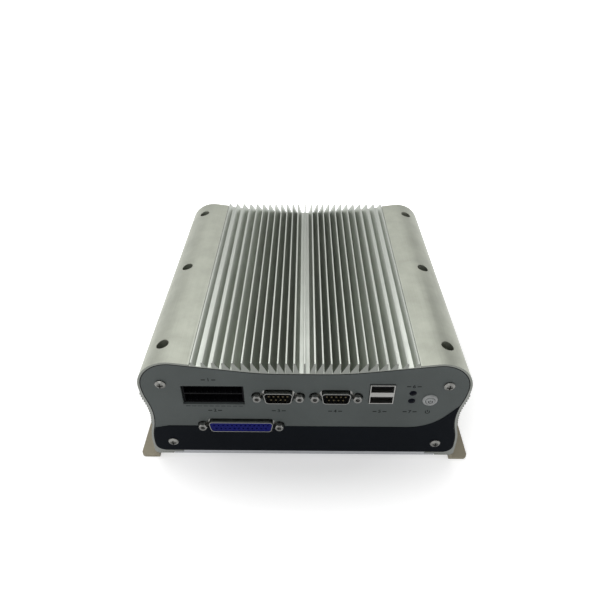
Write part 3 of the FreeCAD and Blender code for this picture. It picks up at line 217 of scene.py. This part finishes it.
def make_handling():
    """Faint smears and dust left by handling: two sizes of soft noise multiplied, from 0 to 1."""
    group, given, result = new_group(
        "handling",
        [("Vector", "NodeSocketVector", None), ("Amount", "NodeSocketFloat", 0.5)],
        [("Smears", "NodeSocketFloat"), ("Specks", "NodeSocketFloat")],
    )
    large = spread(group, noise_node(group, given.outputs["Vector"], 45.0, 4.0, 0.6), 0.42, 0.7)
    small = spread(group, noise_node(group, given.outputs["Vector"], 900.0, 2.0), 0.66, 0.78)
    group.links.new(math_node(group, "MULTIPLY", large, given.outputs["Amount"]), result.inputs["Smears"])
    group.links.new(math_node(group, "MULTIPLY", small, given.outputs["Amount"]), result.inputs["Specks"])
    return group


def make_cut_face():
    """Mask of the faces that look along Y, such as sawn ends, and the milling tool's arcs across them."""
    group, given, result = new_group(
        "cut_face",
        [("Vector", "NodeSocketVector", None), ("Normal", "NodeSocketVector", None)],
        [("Ends", "NodeSocketFloat"), ("Arcs", "NodeSocketFloat")],
    )
    parts = group.nodes.new("ShaderNodeSeparateXYZ")
    group.links.new(given.outputs["Normal"], parts.inputs[0])
    facing = math_node(group, "ABSOLUTE", parts.outputs["Y"])
    rings = group.nodes.new("ShaderNodeTexWave")
    rings.wave_type = "RINGS"
    rings.rings_direction = "Y"
    rings.inputs["Scale"].default_value = 420.0
    rings.inputs["Distortion"].default_value = 1.5
    shift = group.nodes.new("ShaderNodeVectorMath")
    shift.operation = "ADD"
    shift.inputs[1].default_value = (0.02, 0.0, 0.22)
    group.links.new(given.outputs["Vector"], shift.inputs[0])
    group.links.new(shift.outputs[0], rings.inputs["Vector"])
    group.links.new(spread(group, facing, 0.9, 0.98), result.inputs["Ends"])
    group.links.new(rings.outputs["Fac"], result.inputs["Arcs"])
    return group


DIE_LINES = make_die_lines()
PAINT_GRAIN = make_paint_grain()
HANDLING = make_handling()
CUT_FACE = make_cut_face()


# ---------------------------------------------------------------- materials


class Finish:
    """A material with its Principled shader, object coordinates and short ways to feed them."""

    def __init__(self, name, base, metallic, roughness):
        self.material = bpy.data.materials.new(name)
        self.material.use_nodes = True
        self.tree = self.material.node_tree
        self.shader = self.tree.nodes["Principled BSDF"]
        self.shader.inputs["Base Color"].default_value = (*base, 1.0)
        self.shader.inputs["Metallic"].default_value = metallic
        self.shader.inputs["Roughness"].default_value = roughness
        self.place = self.tree.nodes.new("ShaderNodeTexCoord")
        self.vector = self.place.outputs["Object"]

    def group(self, shared, **values):
        """Places a shared group on the object coordinates, with its own values."""
        node = self.tree.nodes.new("ShaderNodeGroup")
        node.node_tree = shared
        self.tree.links.new(self.vector, node.inputs["Vector"])
        for label, value in values.items():
            node.inputs[label.replace("_", " ")].default_value = value
        return node

    def feed(self, label, socket):
        """Joins a socket to one of the shader's inputs."""
        self.tree.links.new(socket, self.shader.inputs[label])

    def bump(self, height, distance, strength=1.0):
        """Raises the surface by a height from 0 to 1 times a distance."""
        node = self.tree.nodes.new("ShaderNodeBump")
        node.inputs["Strength"].default_value = strength
        node.inputs["Distance"].default_value = distance
        self.tree.links.new(height, node.inputs["Height"])
        self.feed("Normal", node.outputs["Normal"])


def tinted(base, factor):
    """The colour times a factor, with an alpha of 1."""
    return (*(part * factor for part in base), 1.0)


# The roof's flutes end and its blasted shoulders begin at this distance from the middle.
FLUTES_END = 64.0 * MM
SHOULDER_START = 66.0 * MM
# Sawn ends lie past this distance from the middle; bores that look along Y lie short of it.
SAWN_START = 89.0 * MM
# Painted shade: the shoulders' colour is darkened by this factor.
SHOULDER_PAINTED_SHADE = 0.80
# Painted shade: the ends round the panel are darkened by this further factor.
RIM_PAINTED_SHADE = 0.85


def extruded_aluminium(name, base, roughness, painted_end_shade, shoulder_roughness):
    """Satin-anodised extrusion: die lines along Y, ends with milling arcs and blasted shoulders both darkened
    as painted shade, faint smears.
    """
    made = Finish(name, base, 1.0, roughness)
    tree = made.tree
    lines = made.group(DIE_LINES, Lines_per_Metre=1700.0)
    marks = made.group(HANDLING, Amount=0.5)
    ends = made.group(CUT_FACE)
    tree.links.new(made.place.outputs["Normal"], ends.inputs["Normal"])
    drawn = mixed_colour(tree, lines.outputs["Bands"], tinted(base, 0.92), tinted(base, 1.06))
    touched = mixed_colour(tree, marks.outputs["Smears"], drawn, tinted(base, 0.88))
    place = tree.nodes.new("ShaderNodeSeparateXYZ")
    tree.links.new(made.vector, place.inputs[0])
    aside = math_node(tree, "ABSOLUTE", place.outputs["X"])
    shoulder = spread(tree, aside, FLUTES_END, SHOULDER_START)
    cloud = spread(tree, noise_node(tree, made.vector, 70.0, 5.0, 0.65), 0.36, 0.64)
    # Painted shade: the shoulders' colour is darkened, over a mottle of its own.
    warm = (base[0], base[1] * 0.99, base[2] * 0.93)
    shaded_dull = tinted(warm, 0.93 * SHOULDER_PAINTED_SHADE)
    shaded_bright = tinted(warm, 1.06 * SHOULDER_PAINTED_SHADE)
    mottled_and_shaded = mixed_colour(tree, cloud, shaded_dull, shaded_bright)
    banded = mixed_colour(tree, shoulder, touched, mottled_and_shaded)
    # Painted shade: the ends' colour is darkened, the rim round the panel more; the milling arcs across it are
    # real tool marks.
    milled_and_shaded = mixed_colour(tree, ends.outputs["Arcs"], tinted(base, painted_end_shade * 0.85), tinted(base, painted_end_shade))
    shaded_rim = mixed_colour(tree, shoulder, milled_and_shaded, tinted(base, painted_end_shade * RIM_PAINTED_SHADE))
    along = math_node(tree, "ABSOLUTE", place.outputs["Y"])
    outermost = spread(tree, along, SAWN_START, 90.0 * MM)
    sawn = math_node(tree, "MULTIPLY", ends.outputs["Ends"], outermost)
    made.feed("Base Color", mixed_colour(tree, sawn, banded, shaded_rim))
    blasted = spread(tree, shoulder, 0.0, 1.0, roughness - 0.05, shoulder_roughness - 0.05)
    rough = math_node(tree, "MULTIPLY_ADD", lines.outputs["Lines"], 0.10)
    tree.links.new(blasted, rough.node.inputs[2])
    smeared = math_node(tree, "MULTIPLY_ADD", marks.outputs["Smears"], 0.12)
    tree.links.new(rough, smeared.node.inputs[2])
    made.feed("Roughness", smeared)
    made.bump(lines.outputs["Lines"], 0.000012)
    return made.material


def painted_sheet(name, base, roughness, grain, height, gloss):
    """Painted sheet with its grain, a slow drift of colour and a few specks."""
    made = Finish(name, base, 0.0, roughness)
    tree = made.tree
    grained = made.group(PAINT_GRAIN, Grain_per_Metre=grain)
    marks = made.group(HANDLING, Amount=0.4)
    drift = mixed_colour(tree, grained.outputs["Cloud"], tinted(base, 0.93), tinted(base, 1.07))
    specked = mixed_colour(tree, marks.outputs["Specks"], drift, tinted(base, 1.6))
    made.feed("Base Color", specked)
    rough = math_node(tree, "MULTIPLY_ADD", marks.outputs["Smears"], 0.18)
    rough.node.inputs[2].default_value = roughness
    made.feed("Roughness", rough)
    made.bump(grained.outputs["Height"], height)
    made.shader.inputs["Specular IOR Level"].default_value = gloss
    return made.material


def plated(name, base, roughness, metallic=1.0, painted_edge_shade=1.0):
    """Rolled or turned metal under thin plating: clouded, with faces that look along Y darkened by a factor as
    painted shade.
    """
    made = Finish(name, base, metallic, roughness)
    tree = made.tree
    cloud = noise_node(tree, made.vector, 120.0, 3.0)
    fine = noise_node(tree, made.vector, 1800.0, 2.0)
    ends = made.group(CUT_FACE)
    tree.links.new(made.place.outputs["Normal"], ends.inputs["Normal"])
    clouded = mixed_colour(tree, cloud, tinted(base, 0.86), tinted(base, 1.1))
    # Painted shade: the faces that look along Y are darker.
    edges = mixed_colour(tree, cloud, tinted(base, 0.86 * painted_edge_shade), tinted(base, 1.1 * painted_edge_shade))
    made.feed("Base Color", mixed_colour(tree, ends.outputs["Ends"], clouded, edges))
    made.feed("Roughness", spread(tree, fine, 0.3, 0.7, roughness - 0.07, roughness + 0.09))
    made.bump(fine, 0.000008)
    return made.material


def moulded(name, base, roughness, gloss, height=0.000015):
    """Spark-eroded moulded plastic: fine pits and a little drift in the gloss."""
    made = Finish(name, base, 0.0, roughness)
    tree = made.tree
    grained = made.group(PAINT_GRAIN, Grain_per_Metre=3600.0)
    cloud = grained.outputs["Cloud"]
    made.feed("Base Color", mixed_colour(tree, cloud, tinted(base, 0.85), tinted(base, 1.15)))
    made.feed("Roughness", spread(tree, cloud, 0.0, 1.0, roughness - 0.05, roughness + 0.08))
    made.bump(grained.outputs["Height"], height)
    made.shader.inputs["Specular IOR Level"].default_value = gloss
    return made.material


def circuit_board(name):
    """Green solder mask over copper tracks: thin straight lines seen as lighter green."""
    base = (0.012, 0.075, 0.03)
    made = Finish(name, base, 0.0, 0.35)
    tree = made.tree
    bricks = tree.nodes.new("ShaderNodeTexBrick")
    tree.links.new(made.vector, bricks.inputs["Vector"])
    bricks.inputs["Scale"].default_value = 90.0
    bricks.inputs["Mortar Size"].default_value = 0.03
    bricks.inputs["Color1"].default_value = tinted(base, 0.9)
    bricks.inputs["Color2"].default_value = tinted(base, 1.1)
    bricks.inputs["Mortar"].default_value = (0.03, 0.17, 0.06, 1.0)
    made.feed("Base Color", bricks.outputs["Color"])
    made.bump(bricks.outputs["Fac"], 0.00003)
    return made.material


# Painted shade: the fourth number of each darkens the ends.
SILVER = extruded_aluminium("satin_anodised_extrusion", (0.495, 0.518, 0.476), 0.38, 0.44, 0.50)
WALL_SILVER = extruded_aluminium("satin_anodised_side", (0.42, 0.435, 0.41), 0.42, 0.62, 0.45)
SHEET = plated("mill_finish_sheet", (0.42, 0.43, 0.45), 0.42)
BRACKET = painted_sheet("beige_bracket_paint", (0.27, 0.243, 0.178), 0.45, 1800.0, 0.00002, 0.35)
PANEL = painted_sheet("slate_panel_paint", (0.074, 0.085, 0.083), 0.48, 2400.0, 0.000025, 0.2)
FILM = painted_sheet("black_satin_film", (0.0045, 0.006, 0.0085), 0.35, 900.0, 0.000006, 0.02)
PRINT = painted_sheet("black_screen_print", (0.008, 0.009, 0.010), 0.55, 2400.0, 0.00001, 0.05)
# Painted shade: a black bead draws the seam's dark line.
SEAM_SHADE_BEAD = painted_sheet("black_seam_painted_shade", (0.010, 0.011, 0.012), 0.7, 3000.0, 0.00002, 0.1)
PORT_METAL = plated("tin_plated_socket", (0.30, 0.30, 0.29), 0.42)
# Painted shade: the collar's faces that look along Y are darker.
PORT_SHELL = plated("tin_plated_collar", (0.50, 0.50, 0.48), 0.18, painted_edge_shade=0.5)
BLACK = moulded("black_connector_moulding", (0.004, 0.004, 0.005), 0.5, 0.06)
BLUE = moulded("deep_blue_connector_moulding", (0.004, 0.006, 0.11), 0.45, 0.06)
GOLD = plated("gold_flash_contact", (0.075, 0.062, 0.035), 0.4)
LENS = moulded("smoked_indicator_lens", (0.002, 0.003, 0.007), 0.25, 0.03, 0.000003)
BUTTON = moulded("silver_grey_button", (0.30, 0.31, 0.31), 0.35, 0.4, 0.000008)
BOARD = circuit_board("green_solder_mask")
PILLAR = plated("brass_pillar_turning", (0.62, 0.45, 0.20), 0.35)
# Painted shade: the faces of the screws and jackscrews that look along Y are darker.
SCREW = plated("nickel_plated_screw", (0.19, 0.19, 0.18), 0.25, painted_edge_shade=0.55)
JACK = plated("nickel_plated_jackscrew", (0.40, 0.40, 0.385), 0.3, painted_edge_shade=0.42)
DARK_SCREW = plated("black_oxide_screw", (0.24, 0.27, 0.24), 0.55, metallic=0.2)

FINISHES = {
    "anodised_aluminium": SILVER,
    "tray_metal": SHEET,
    "bracket_paint": BRACKET,
    "panel_paint": PANEL,
    "black_film": FILM,
    "connector_metal": PORT_METAL,
    "black_plastic": BLACK,
    "blue_plastic": BLUE,
    "gold_contact": GOLD,
    "indicator_lens": LENS,
    "button_plastic": BUTTON,
    "circuit_board": BOARD,
    "brass_pillar": PILLAR,
    "screw_steel": SCREW,
    "dark_screw": DARK_SCREW,
}

for part in frame["record"]["subparts"]:
    mesh = nodes[part["node"]].data
    mesh.materials.clear()
    mesh.materials.append(FINISHES[part["material_slot"]])
for wall in ("side_wall_left", "side_wall_right"):
    nodes[wall].data.materials[0] = WALL_SILVER
for port in ("serial_port_left", "serial_port_right", "parallel_port", "video_port"):
    nodes[f"{port}_shell"].data.materials[0] = PORT_SHELL
nodes["jackscrews"].data.materials[0] = JACK


# ---------------------------------------------------------------- printed marks, contacts and threads


def middle(node, axis):
    """Middle of a node's box along one axis."""
    first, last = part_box(node)
    return (first[axis] + last[axis]) / 2


def as_triangles(points, quads):
    """The same surface with each four-cornered face cut into two triangles."""
    return points, np.concatenate([quads[:, [0, 1, 2]], quads[:, [0, 2, 3]]])


def lettering(characters, height, x, y, z):
    """Flat characters in the XZ plane that look along -Y, centred on a place: (across, up) becomes (x, z)."""
    curve = bpy.data.curves.new("characters", "FONT")
    curve.body = characters
    curve.size = height
    curve.offset = height * 0.018
    curve.align_x = "CENTER"
    curve.align_y = "CENTER"
    holder = bpy.data.objects.new("characters", curve)
    flat = bpy.data.meshes.new_from_object(holder)
    flat.calc_loop_triangles()
    across = np.empty(len(flat.vertices) * 3)
    flat.vertices.foreach_get("co", across)
    across = across.reshape(-1, 3)
    corners = np.empty(len(flat.loop_triangles) * 3, dtype=np.int32)
    flat.loop_triangles.foreach_get("vertices", corners)
    points = np.stack([across[:, 0] + x, np.full(len(across), y), across[:, 1] + z], axis=-1)
    bpy.data.objects.remove(holder)
    return points, corners.reshape(-1, 3)


def dash(x, y, z, width, height):
    """Flat bar in the XZ plane, centred on a place."""
    across = np.array([-width / 2, width / 2])
    up = np.array([-height / 2, height / 2])
    u, v = np.meshgrid(across, up, indexing="ij")
    points = np.stack([x + u, np.full_like(u, y), z + v], axis=-1)
    return as_triangles(*grid_mesh(points))


def open_ring(x, y, z, radius, width, gap_degrees):
    """Flat ring in the XZ plane with a gap at its top: angle along u, radius across v."""
    gap = math.radians(gap_degrees) / 2
    angle = np.linspace(math.pi / 2 + gap, math.pi * 2.5 - gap, 33)
    across = np.array([radius + width / 2, radius - width / 2])
    a, r = np.meshgrid(angle, across, indexing="ij")
    points = np.stack([x + r * np.cos(a), np.full_like(a, y), z + r * np.sin(a)], axis=-1)
    return as_triangles(*grid_mesh(points[::-1]))


INK = 0.03 * MM
MARK_Y = PANEL_FRONT - INK
MARK_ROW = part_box("terminal_header")[0][2] - 5.7 * MM
MARK_HEIGHT = 3.6 * MM
TERMINAL_WAYS = 10
TERMINAL_PITCH = 3.5 * MM
SIGN_GAP_DEGREES = 70.0


def on_off_sign(x, y, z, radius, width, stroke_middle, stroke_length):
    """Sign for on and off: a ring open at its top, with an upright stroke in the gap."""
    ring = open_ring(x, y, z, radius, width, SIGN_GAP_DEGREES)
    return [ring, dash(x, y, z + stroke_middle, width, stroke_length)]


def make_panel_marks():
    """Plain numbers by the ports, a dash for each way of the terminal header and the sign for on and off."""
    terminal_x = middle("terminal_header", 0)
    lamp_x = middle("indicator_upper", 0)
    button_x = middle("power_button_cap", 0)
    above_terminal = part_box("terminal_header")[1][2] + 5.5 * MM
    above_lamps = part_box("indicator_upper")[1][2] + 3.5 * MM
    places = [
        ("1", terminal_x - 1.5 * MM, above_terminal),
        ("2", terminal_x, MARK_ROW),
        ("3", middle("serial_port_left_shell", 0), MARK_ROW),
        ("4", middle("serial_port_right_shell", 0), MARK_ROW),
        ("5", middle("usb_shell_front", 0), MARK_ROW),
        ("6", lamp_x, above_lamps),
        ("7", lamp_x, MARK_ROW),
    ]
    parts = []
    for figure, x, z in places:
        parts.append(lettering(figure, MARK_HEIGHT, x, MARK_Y, z))
        for side in (-1, 1):
            parts.append(dash(x + side * 3.0 * MM, MARK_Y, z, 2.4 * MM, 0.75 * MM))
    for way in range(TERMINAL_WAYS):
        x = terminal_x + TERMINAL_PITCH * (way - (TERMINAL_WAYS - 1) / 2)
        parts.append(dash(x, MARK_Y, MARK_ROW + 3.9 * MM, 2.6 * MM, 0.4 * MM))
    parts += on_off_sign(button_x, MARK_Y, MARK_ROW, 1.3 * MM, 0.5 * MM, 0.9 * MM, 1.7 * MM)
    piece("panel_marks", parts, PRINT, smooth=False)


def swept_strip(line, half_width, thickness):
    """Thin strip: a line of (y, z) points carried across x, closed round its front, back and both ends."""
    line = np.asarray(line)
    run = np.gradient(line, axis=0)
    run /= np.linalg.norm(run, axis=1)[:, None]
    upward = np.stack([-run[:, 1], run[:, 0]], axis=-1) * thickness / 2
    ring = [(-half_width, -1), (half_width, -1), (half_width, 1), (-half_width, 1)]
    loops = [np.column_stack([np.full(len(line), x), line + side * upward]) for x, side in ring]
    return np.stack(loops, axis=1)


def closed_tube(points):
    """Grid closed round its section, with both end sections filled by one face each."""
    vertices, faces = grid_mesh(points, close_v=True)
    rows, columns = points.shape[:2]
    first = np.arange(columns)[::-1]
    last = np.arange(columns) + (rows - 1) * columns
    return vertices, np.concatenate([faces, first[None, :], last[None, :]])


def shifted(part, x=0.0, y=0.0, z=0.0):
    """The part moved by a distance along each axis."""
    points, faces = part
    return points + np.array([x, y, z]), faces


def panel_edge(node, plane):
    """Outline of a panel as ordered (x, z) corners: the ring through the corner furthest along X, made of the
    edges that only one triangle in the panel's outer plane has. Each corner knows the next one. The steps
    left to the ring's last corner are summed over spans that double in length, and give the order."""
    mesh = nodes[node].data
    mesh.calc_loop_triangles()
    corners = np.empty(len(mesh.vertices) * 3)
    mesh.vertices.foreach_get("co", corners)
    corners = corners.reshape(-1, 3)
    triangles = np.empty(len(mesh.loop_triangles) * 3, dtype=np.int64)
    mesh.loop_triangles.foreach_get("vertices", triangles)
    triangles = triangles.reshape(-1, 3)
    flat = triangles[(np.abs(corners[triangles, 1] - plane) < 1e-6).all(axis=1)]
    micron = 0.001 * MM
    keys = np.round(corners[:, [0, 2]] / micron).astype(np.int64)
    places, same = np.unique(keys, axis=0, return_inverse=True)
    flat = same.reshape(-1)[flat]
    count = len(places)
    edges = np.concatenate([flat[:, [0, 1]], flat[:, [1, 2]], flat[:, [2, 0]]])
    forward = edges[:, 0] * count + edges[:, 1]
    backward = edges[:, 1] * count + edges[:, 0]
    outer = edges[~np.isin(forward, backward)]
    following = np.arange(count)
    following[outer[:, 0]] = outer[:, 1]
    start = int(np.argmax(places[:, 0]))
    last = int(outer[outer[:, 1] == start, 0][0])
    following[last] = last
    steps_left = (following != np.arange(count)).astype(np.int64)
    for _ in range(count.bit_length()):
        steps_left = steps_left + steps_left[following]
        following = following[following]
    ring = np.flatnonzero(following == last)
    return places[ring[np.argsort(-steps_left[ring])]] * micron


def evenly_spaced(ring, step):
    """A closed ring of points cut into stretches no longer than a step."""
    following = np.roll(ring, -1, axis=0)
    length = np.linalg.norm(following - ring, axis=1)
    along = np.concatenate([[0.0], np.cumsum(length)])
    count = int(along[-1] / step)
    wanted = np.linspace(0.0, along[-1], count, endpoint=False)
    closed = np.vstack([ring, ring[:1]])
    return np.column_stack([np.interp(wanted, along, closed[:, k]) for k in range(2)])


def make_seam(node, looks):
    """Black bead in the seam round a panel, a painted shade for the dark line of the gap: a low half-round
    profile carried along the panel's edge. Across the seam it goes as the cosine of half a turn, and out of it
    as the sine."""
    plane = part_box(node)[0][1] if looks < 0 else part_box(node)[1][1]
    ring = evenly_spaced(panel_edge(node, plane), 1.0 * MM)
    run = np.roll(ring, -1, axis=0) - np.roll(ring, 1, axis=0)
    run /= np.linalg.norm(run, axis=1)[:, None]
    outward = np.column_stack([run[:, 1], -run[:, 0]])
    outward *= np.sign(((ring - ring.mean(axis=0)) * outward).sum(axis=1))[:, None]
    turn = np.linspace(0.0, math.pi, 7)
    offset = 0.1 * MM + 0.3 * MM * np.cos(turn)
    height = 0.05 * MM * np.sin(turn)
    x = ring[:, :1] + outward[:, :1] * offset
    z = ring[:, 1:] + outward[:, 1:] * offset
    y = np.broadcast_to(plane + looks * height, x.shape)
    vertices, faces = grid_mesh(np.stack([x, y, z], axis=-1), close_u=True)
    first = vertices[faces[0]]
    facing = np.cross(first[1] - first[0], first[2] - first[0])[1] * looks
    piece(f"{node}_seam", [(vertices, faces if facing > 0 else faces[:, ::-1])], SEAM_SHADE_BEAD)


def make_button_sign():
    """Sign for on and off in the middle of the button, moving with it."""
    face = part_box("power_button_cap")[0][1] - 0.02 * MM
    x = middle("power_button_cap", 0)
    z = middle("power_button_cap", 2)
    sign = on_off_sign(x, face, z, 1.2 * MM, 0.4 * MM, 0.85 * MM, 1.2 * MM)
    piece("button_sign", sign, PRINT, body="power_button", smooth=False)


def make_usb_contacts(end, looks):
    """Four sprung fingers under each tongue of a two-storey socket: strips along Y that hang below the tongue
    by half a millimetre times the squared sine of the way."""
    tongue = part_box(f"usb_tongues_{end}")
    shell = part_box(f"usb_shell_{end}")
    start = tongue[0][1] if looks < 0 else tongue[1][1]
    step = np.linspace(0.0, 1.0, 12)
    y = start - looks * (0.6 * MM + step * 9.0 * MM)
    drop = 0.5 * MM * np.sin(math.pi * step) ** 2
    parts = []
    for lift in (0.0, tongue[1][2] - tongue[0][2] - 1.9 * MM):
        line = np.column_stack([y, tongue[0][2] + lift - 0.15 * MM - drop])
        for place in (-3.5, -1.2, 1.2, 3.5):
            strip = closed_tube(swept_strip(line[:: -looks], 0.5 * MM, 0.25 * MM))
            parts.append(shifted(strip, x=middle(f"usb_shell_{end}", 0) + place * MM))
    piece(f"usb_contacts_{end}", parts, GOLD)


def make_network_contacts(number):
    """Eight sprung wires in the mouth, and two lamps above it. A wire hangs below its back end by the way to
    that end to the power 1.5; a lamp is a rounded box whose outline has cosine and sine to the power 0.4."""
    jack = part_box(f"network_jack_{number}")
    x = middle(f"network_jack_{number}", 0)
    mouth = jack[1][1]
    lamp_z = jack[0][2] + 12.3 * MM
    step = np.linspace(0.0, 1.0, 10)
    y = mouth - 2.5 * MM - step * 9.3 * MM
    z = jack[0][2] + 11.2 * MM - 4.2 * MM * (1.0 - step) ** 1.5
    line = np.column_stack([y, z])[::-1]
    parts = []
    for wire in range(8):
        strip = closed_tube(swept_strip(line, 0.22 * MM, 0.4 * MM))
        parts.append(shifted(strip, x=x + (wire - 3.5) * 1.02 * MM))
    piece(f"network_contacts_{number}", parts, GOLD)
    lamps = []
    for side in (-1, 1):
        across = np.linspace(0.0, 2 * math.pi, 17)[:-1]
        reach = np.array([0.0, 0.25, 0.3]) * MM
        shrink = np.array([1.0, 1.0, 0.6])
        a, k = np.meshgrid(across, np.arange(3), indexing="ij")
        wide = np.sign(np.cos(a)) * np.abs(np.cos(a)) ** 0.4 * 1.5 * MM * shrink[k]
        tall = np.sign(np.sin(a)) * np.abs(np.sin(a)) ** 0.4 * 0.75 * MM * shrink[k]
        points = np.stack([x + side * 4.6 * MM + wide, mouth + reach[k], lamp_z + tall], axis=-1)
        vertices, faces = grid_mesh(points, close_u=True)
        lamps.append((vertices, faces[:, ::-1]))
    piece(f"network_lamps_{number}", lamps, LENS)


def make_jackscrew_threads():
    """Thread inside the mouth of each jackscrew: a V-shaped ridge of three points across, which goes round
    the screw's axis and along it by one pitch a turn."""
    turns = 5
    steps = turns * 20
    turn = np.linspace(0.0, turns * 2 * math.pi, steps + 1)
    pitch = 0.6 * MM
    across = np.array([-0.5, 0.0, 0.5]) * pitch
    radius = np.array([1.32, 1.05, 1.32]) * MM
    a, k = np.meshgrid(turn, np.arange(3), indexing="ij")
    along = a / (2 * math.pi) * pitch + across[k]
    ridge = np.stack([radius[k] * np.cos(a), along, radius[k] * np.sin(a)], axis=-1)
    parts = []
    for label, looks in (
        ("serial_port_left", -1),
        ("serial_port_right", -1),
        ("parallel_port", -1),
        ("video_port", 1),
    ):
        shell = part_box(f"{label}_shell")
        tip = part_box("jackscrews")[0][1] if looks < 0 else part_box("jackscrews")[1][1]
        for x in (shell[0][0] + 3.0 * MM, shell[1][0] - 3.0 * MM):
            points = ridge * np.array([1.0, -looks, 1.0])
            points = points + np.array([x, tip - looks * 0.45 * MM, middle(f"{label}_shell", 2)])
            vertices, faces = grid_mesh(points)
            parts.append((vertices, faces if looks < 0 else faces[:, ::-1]))
    piece("jackscrew_threads", parts, SCREW)


def make_audio_rings():
    """Turned metal lining of the two round jacks: a profile of a rounded lip and the start of the bore, as
    radius and reach, turned about the jack's axis."""
    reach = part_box("audio_jacks")[1][1]
    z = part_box("audio_jacks")[1][2] - 5.0 * MM
    profile = np.array([(1.79, -6.0), (1.79, 0.0), (1.95, 0.12), (2.3, 0.18), (2.6, 0.12), (2.7, 0.0)]) * MM
    turn = np.linspace(0.0, 2 * math.pi, 33)[:-1]
    a, k = np.meshgrid(turn, np.arange(len(profile)), indexing="ij")
    parts = []
    first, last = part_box("audio_jacks")
    for x in (first[0] + 4.5 * MM, last[0] - 4.5 * MM):
        radius = profile[k, 0]
        points = np.stack([x + radius * np.cos(a), reach + profile[k, 1], z + radius * np.sin(a)], axis=-1)
        parts.append(grid_mesh(points, close_u=True))
    piece("audio_jack_rings", parts, PORT_METAL)


make_panel_marks()
make_button_sign()
make_seam("front_panel", -1)
make_seam("rear_panel", 1)
make_usb_contacts("front", -1)
make_usb_contacts("rear", 1)
make_network_contacts(1)
make_network_contacts(2)
make_jackscrew_threads()
make_audio_rings()


# ---------------------------------------------------------------- floor, light, camera

GROUND = box_of_frame[0][2]


def make_floor():
    """Pale studio floor, seen white except where the object shades it and close round the object, where a
    painted shadow darkens it. It is flat for 2 m from the middle and then rises in a smooth step, three times
    the square less twice the cube of the way, to 1.6 m."""
    side = np.linspace(-3.6, 3.6, 73)
    x, y = np.meshgrid(side, side, indexing="ij")
    way = np.clip((np.hypot(x, y) - 2.0) / 1.4, 0.0, 1.0)
    rise = 1.6 * (3.0 * way**2 - 2.0 * way**3)
    vertices, faces = grid_mesh(np.stack([x, y, GROUND - 0.1 * MM + rise], axis=-1))
    mesh = bpy.data.meshes.new("pale_floor")
    mesh.from_pydata(vertices.tolist(), [], faces.tolist())
    mesh.polygons.foreach_set("use_smooth", np.full(len(mesh.polygons), True))
    floor = bpy.data.objects.new("pale_floor", mesh)
    bpy.context.scene.collection.objects.link(floor)
    made = Finish("pale_floor", (0.80, 0.80, 0.80), 0.0, 0.9)
    tree = made.tree
    rays = tree.nodes.new("ShaderNodeLightPath")
    seen = math_node(tree, "MAXIMUM", rays.outputs["Is Camera Ray"], rays.outputs["Is Glossy Ray"])
    seen = math_node(tree, "MAXIMUM", seen, rays.outputs["Is Transmission Ray"])
    made.shader.inputs["Emission Color"].default_value = (1.0, 1.0, 1.0, 1.0)
    away = tree.nodes.new("ShaderNodeVectorMath")
    away.operation = "LENGTH"
    tree.links.new(made.vector, away.inputs[0])
    # Painted shadow: close to the part the floor glows less, so that it is darker there and the shadow shows.
    glow_with_painted_shadow = spread(tree, away.outputs["Value"], 0.105, 0.20, 0.34, 0.80)
    made.feed("Emission Strength", math_node(tree, "MULTIPLY", seen, glow_with_painted_shadow))
    mesh.materials.append(made.material)


def make_world():
    """Even pale light from all round."""
    world = bpy.data.worlds.new("pale_studio")
    bpy.context.scene.world = world
    world.use_nodes = True
    surface = world.node_tree.nodes["Background"]
    surface.inputs["Color"].default_value = (0.42, 0.42, 0.42, 1.0)
    surface.inputs["Strength"].default_value = 1.0


def aimed(thing, place, target):
    """Puts a lamp or camera at a place, looking at a target."""
    thing.location = place
    way = mathutils.Vector(target) - mathutils.Vector(place)
    thing.rotation_euler = way.to_track_quat("-Z", "Y").to_euler()


def make_lamp(name, place, target, size, power):
    """Soft square lamp of white light."""
    light = bpy.data.lights.new(name, "AREA")
    light.shape = "RECTANGLE"
    light.size = size[0]
    light.size_y = size[1]
    light.energy = power
    lamp = bpy.data.objects.new(name, light)
    bpy.context.scene.collection.objects.link(lamp)
    aimed(lamp, place, target)
    return lamp


def make_camera():
    """Camera close above the front, looking down at the roof and the front panel."""
    data = bpy.data.cameras.new("camera")
    data.sensor_width = 36.0
    data.lens = 30.96
    data.clip_start = 0.01
    camera = bpy.data.objects.new("camera", data)
    bpy.context.scene.collection.objects.link(camera)
    camera.location = (-0.7 * MM, PANEL_FRONT - 206.0 * MM, 289.5 * MM)
    camera.rotation_euler = (math.radians(52.43), 0.0, math.radians(0.532))
    bpy.context.scene.camera = camera


make_floor()
make_world()
make_lamp("overhead_softbox", (-0.2, 0.35, 1.05), (0.0, 0.0, 0.04), (1.3, 0.9), 7.2)
make_lamp("front_fill", (-0.35, -1.1, 0.7), (0.0, -0.05, 0.04), (0.9, 0.7), 4.0)
make_camera()

bpy.context.scene.view_settings.view_transform = "Standard"
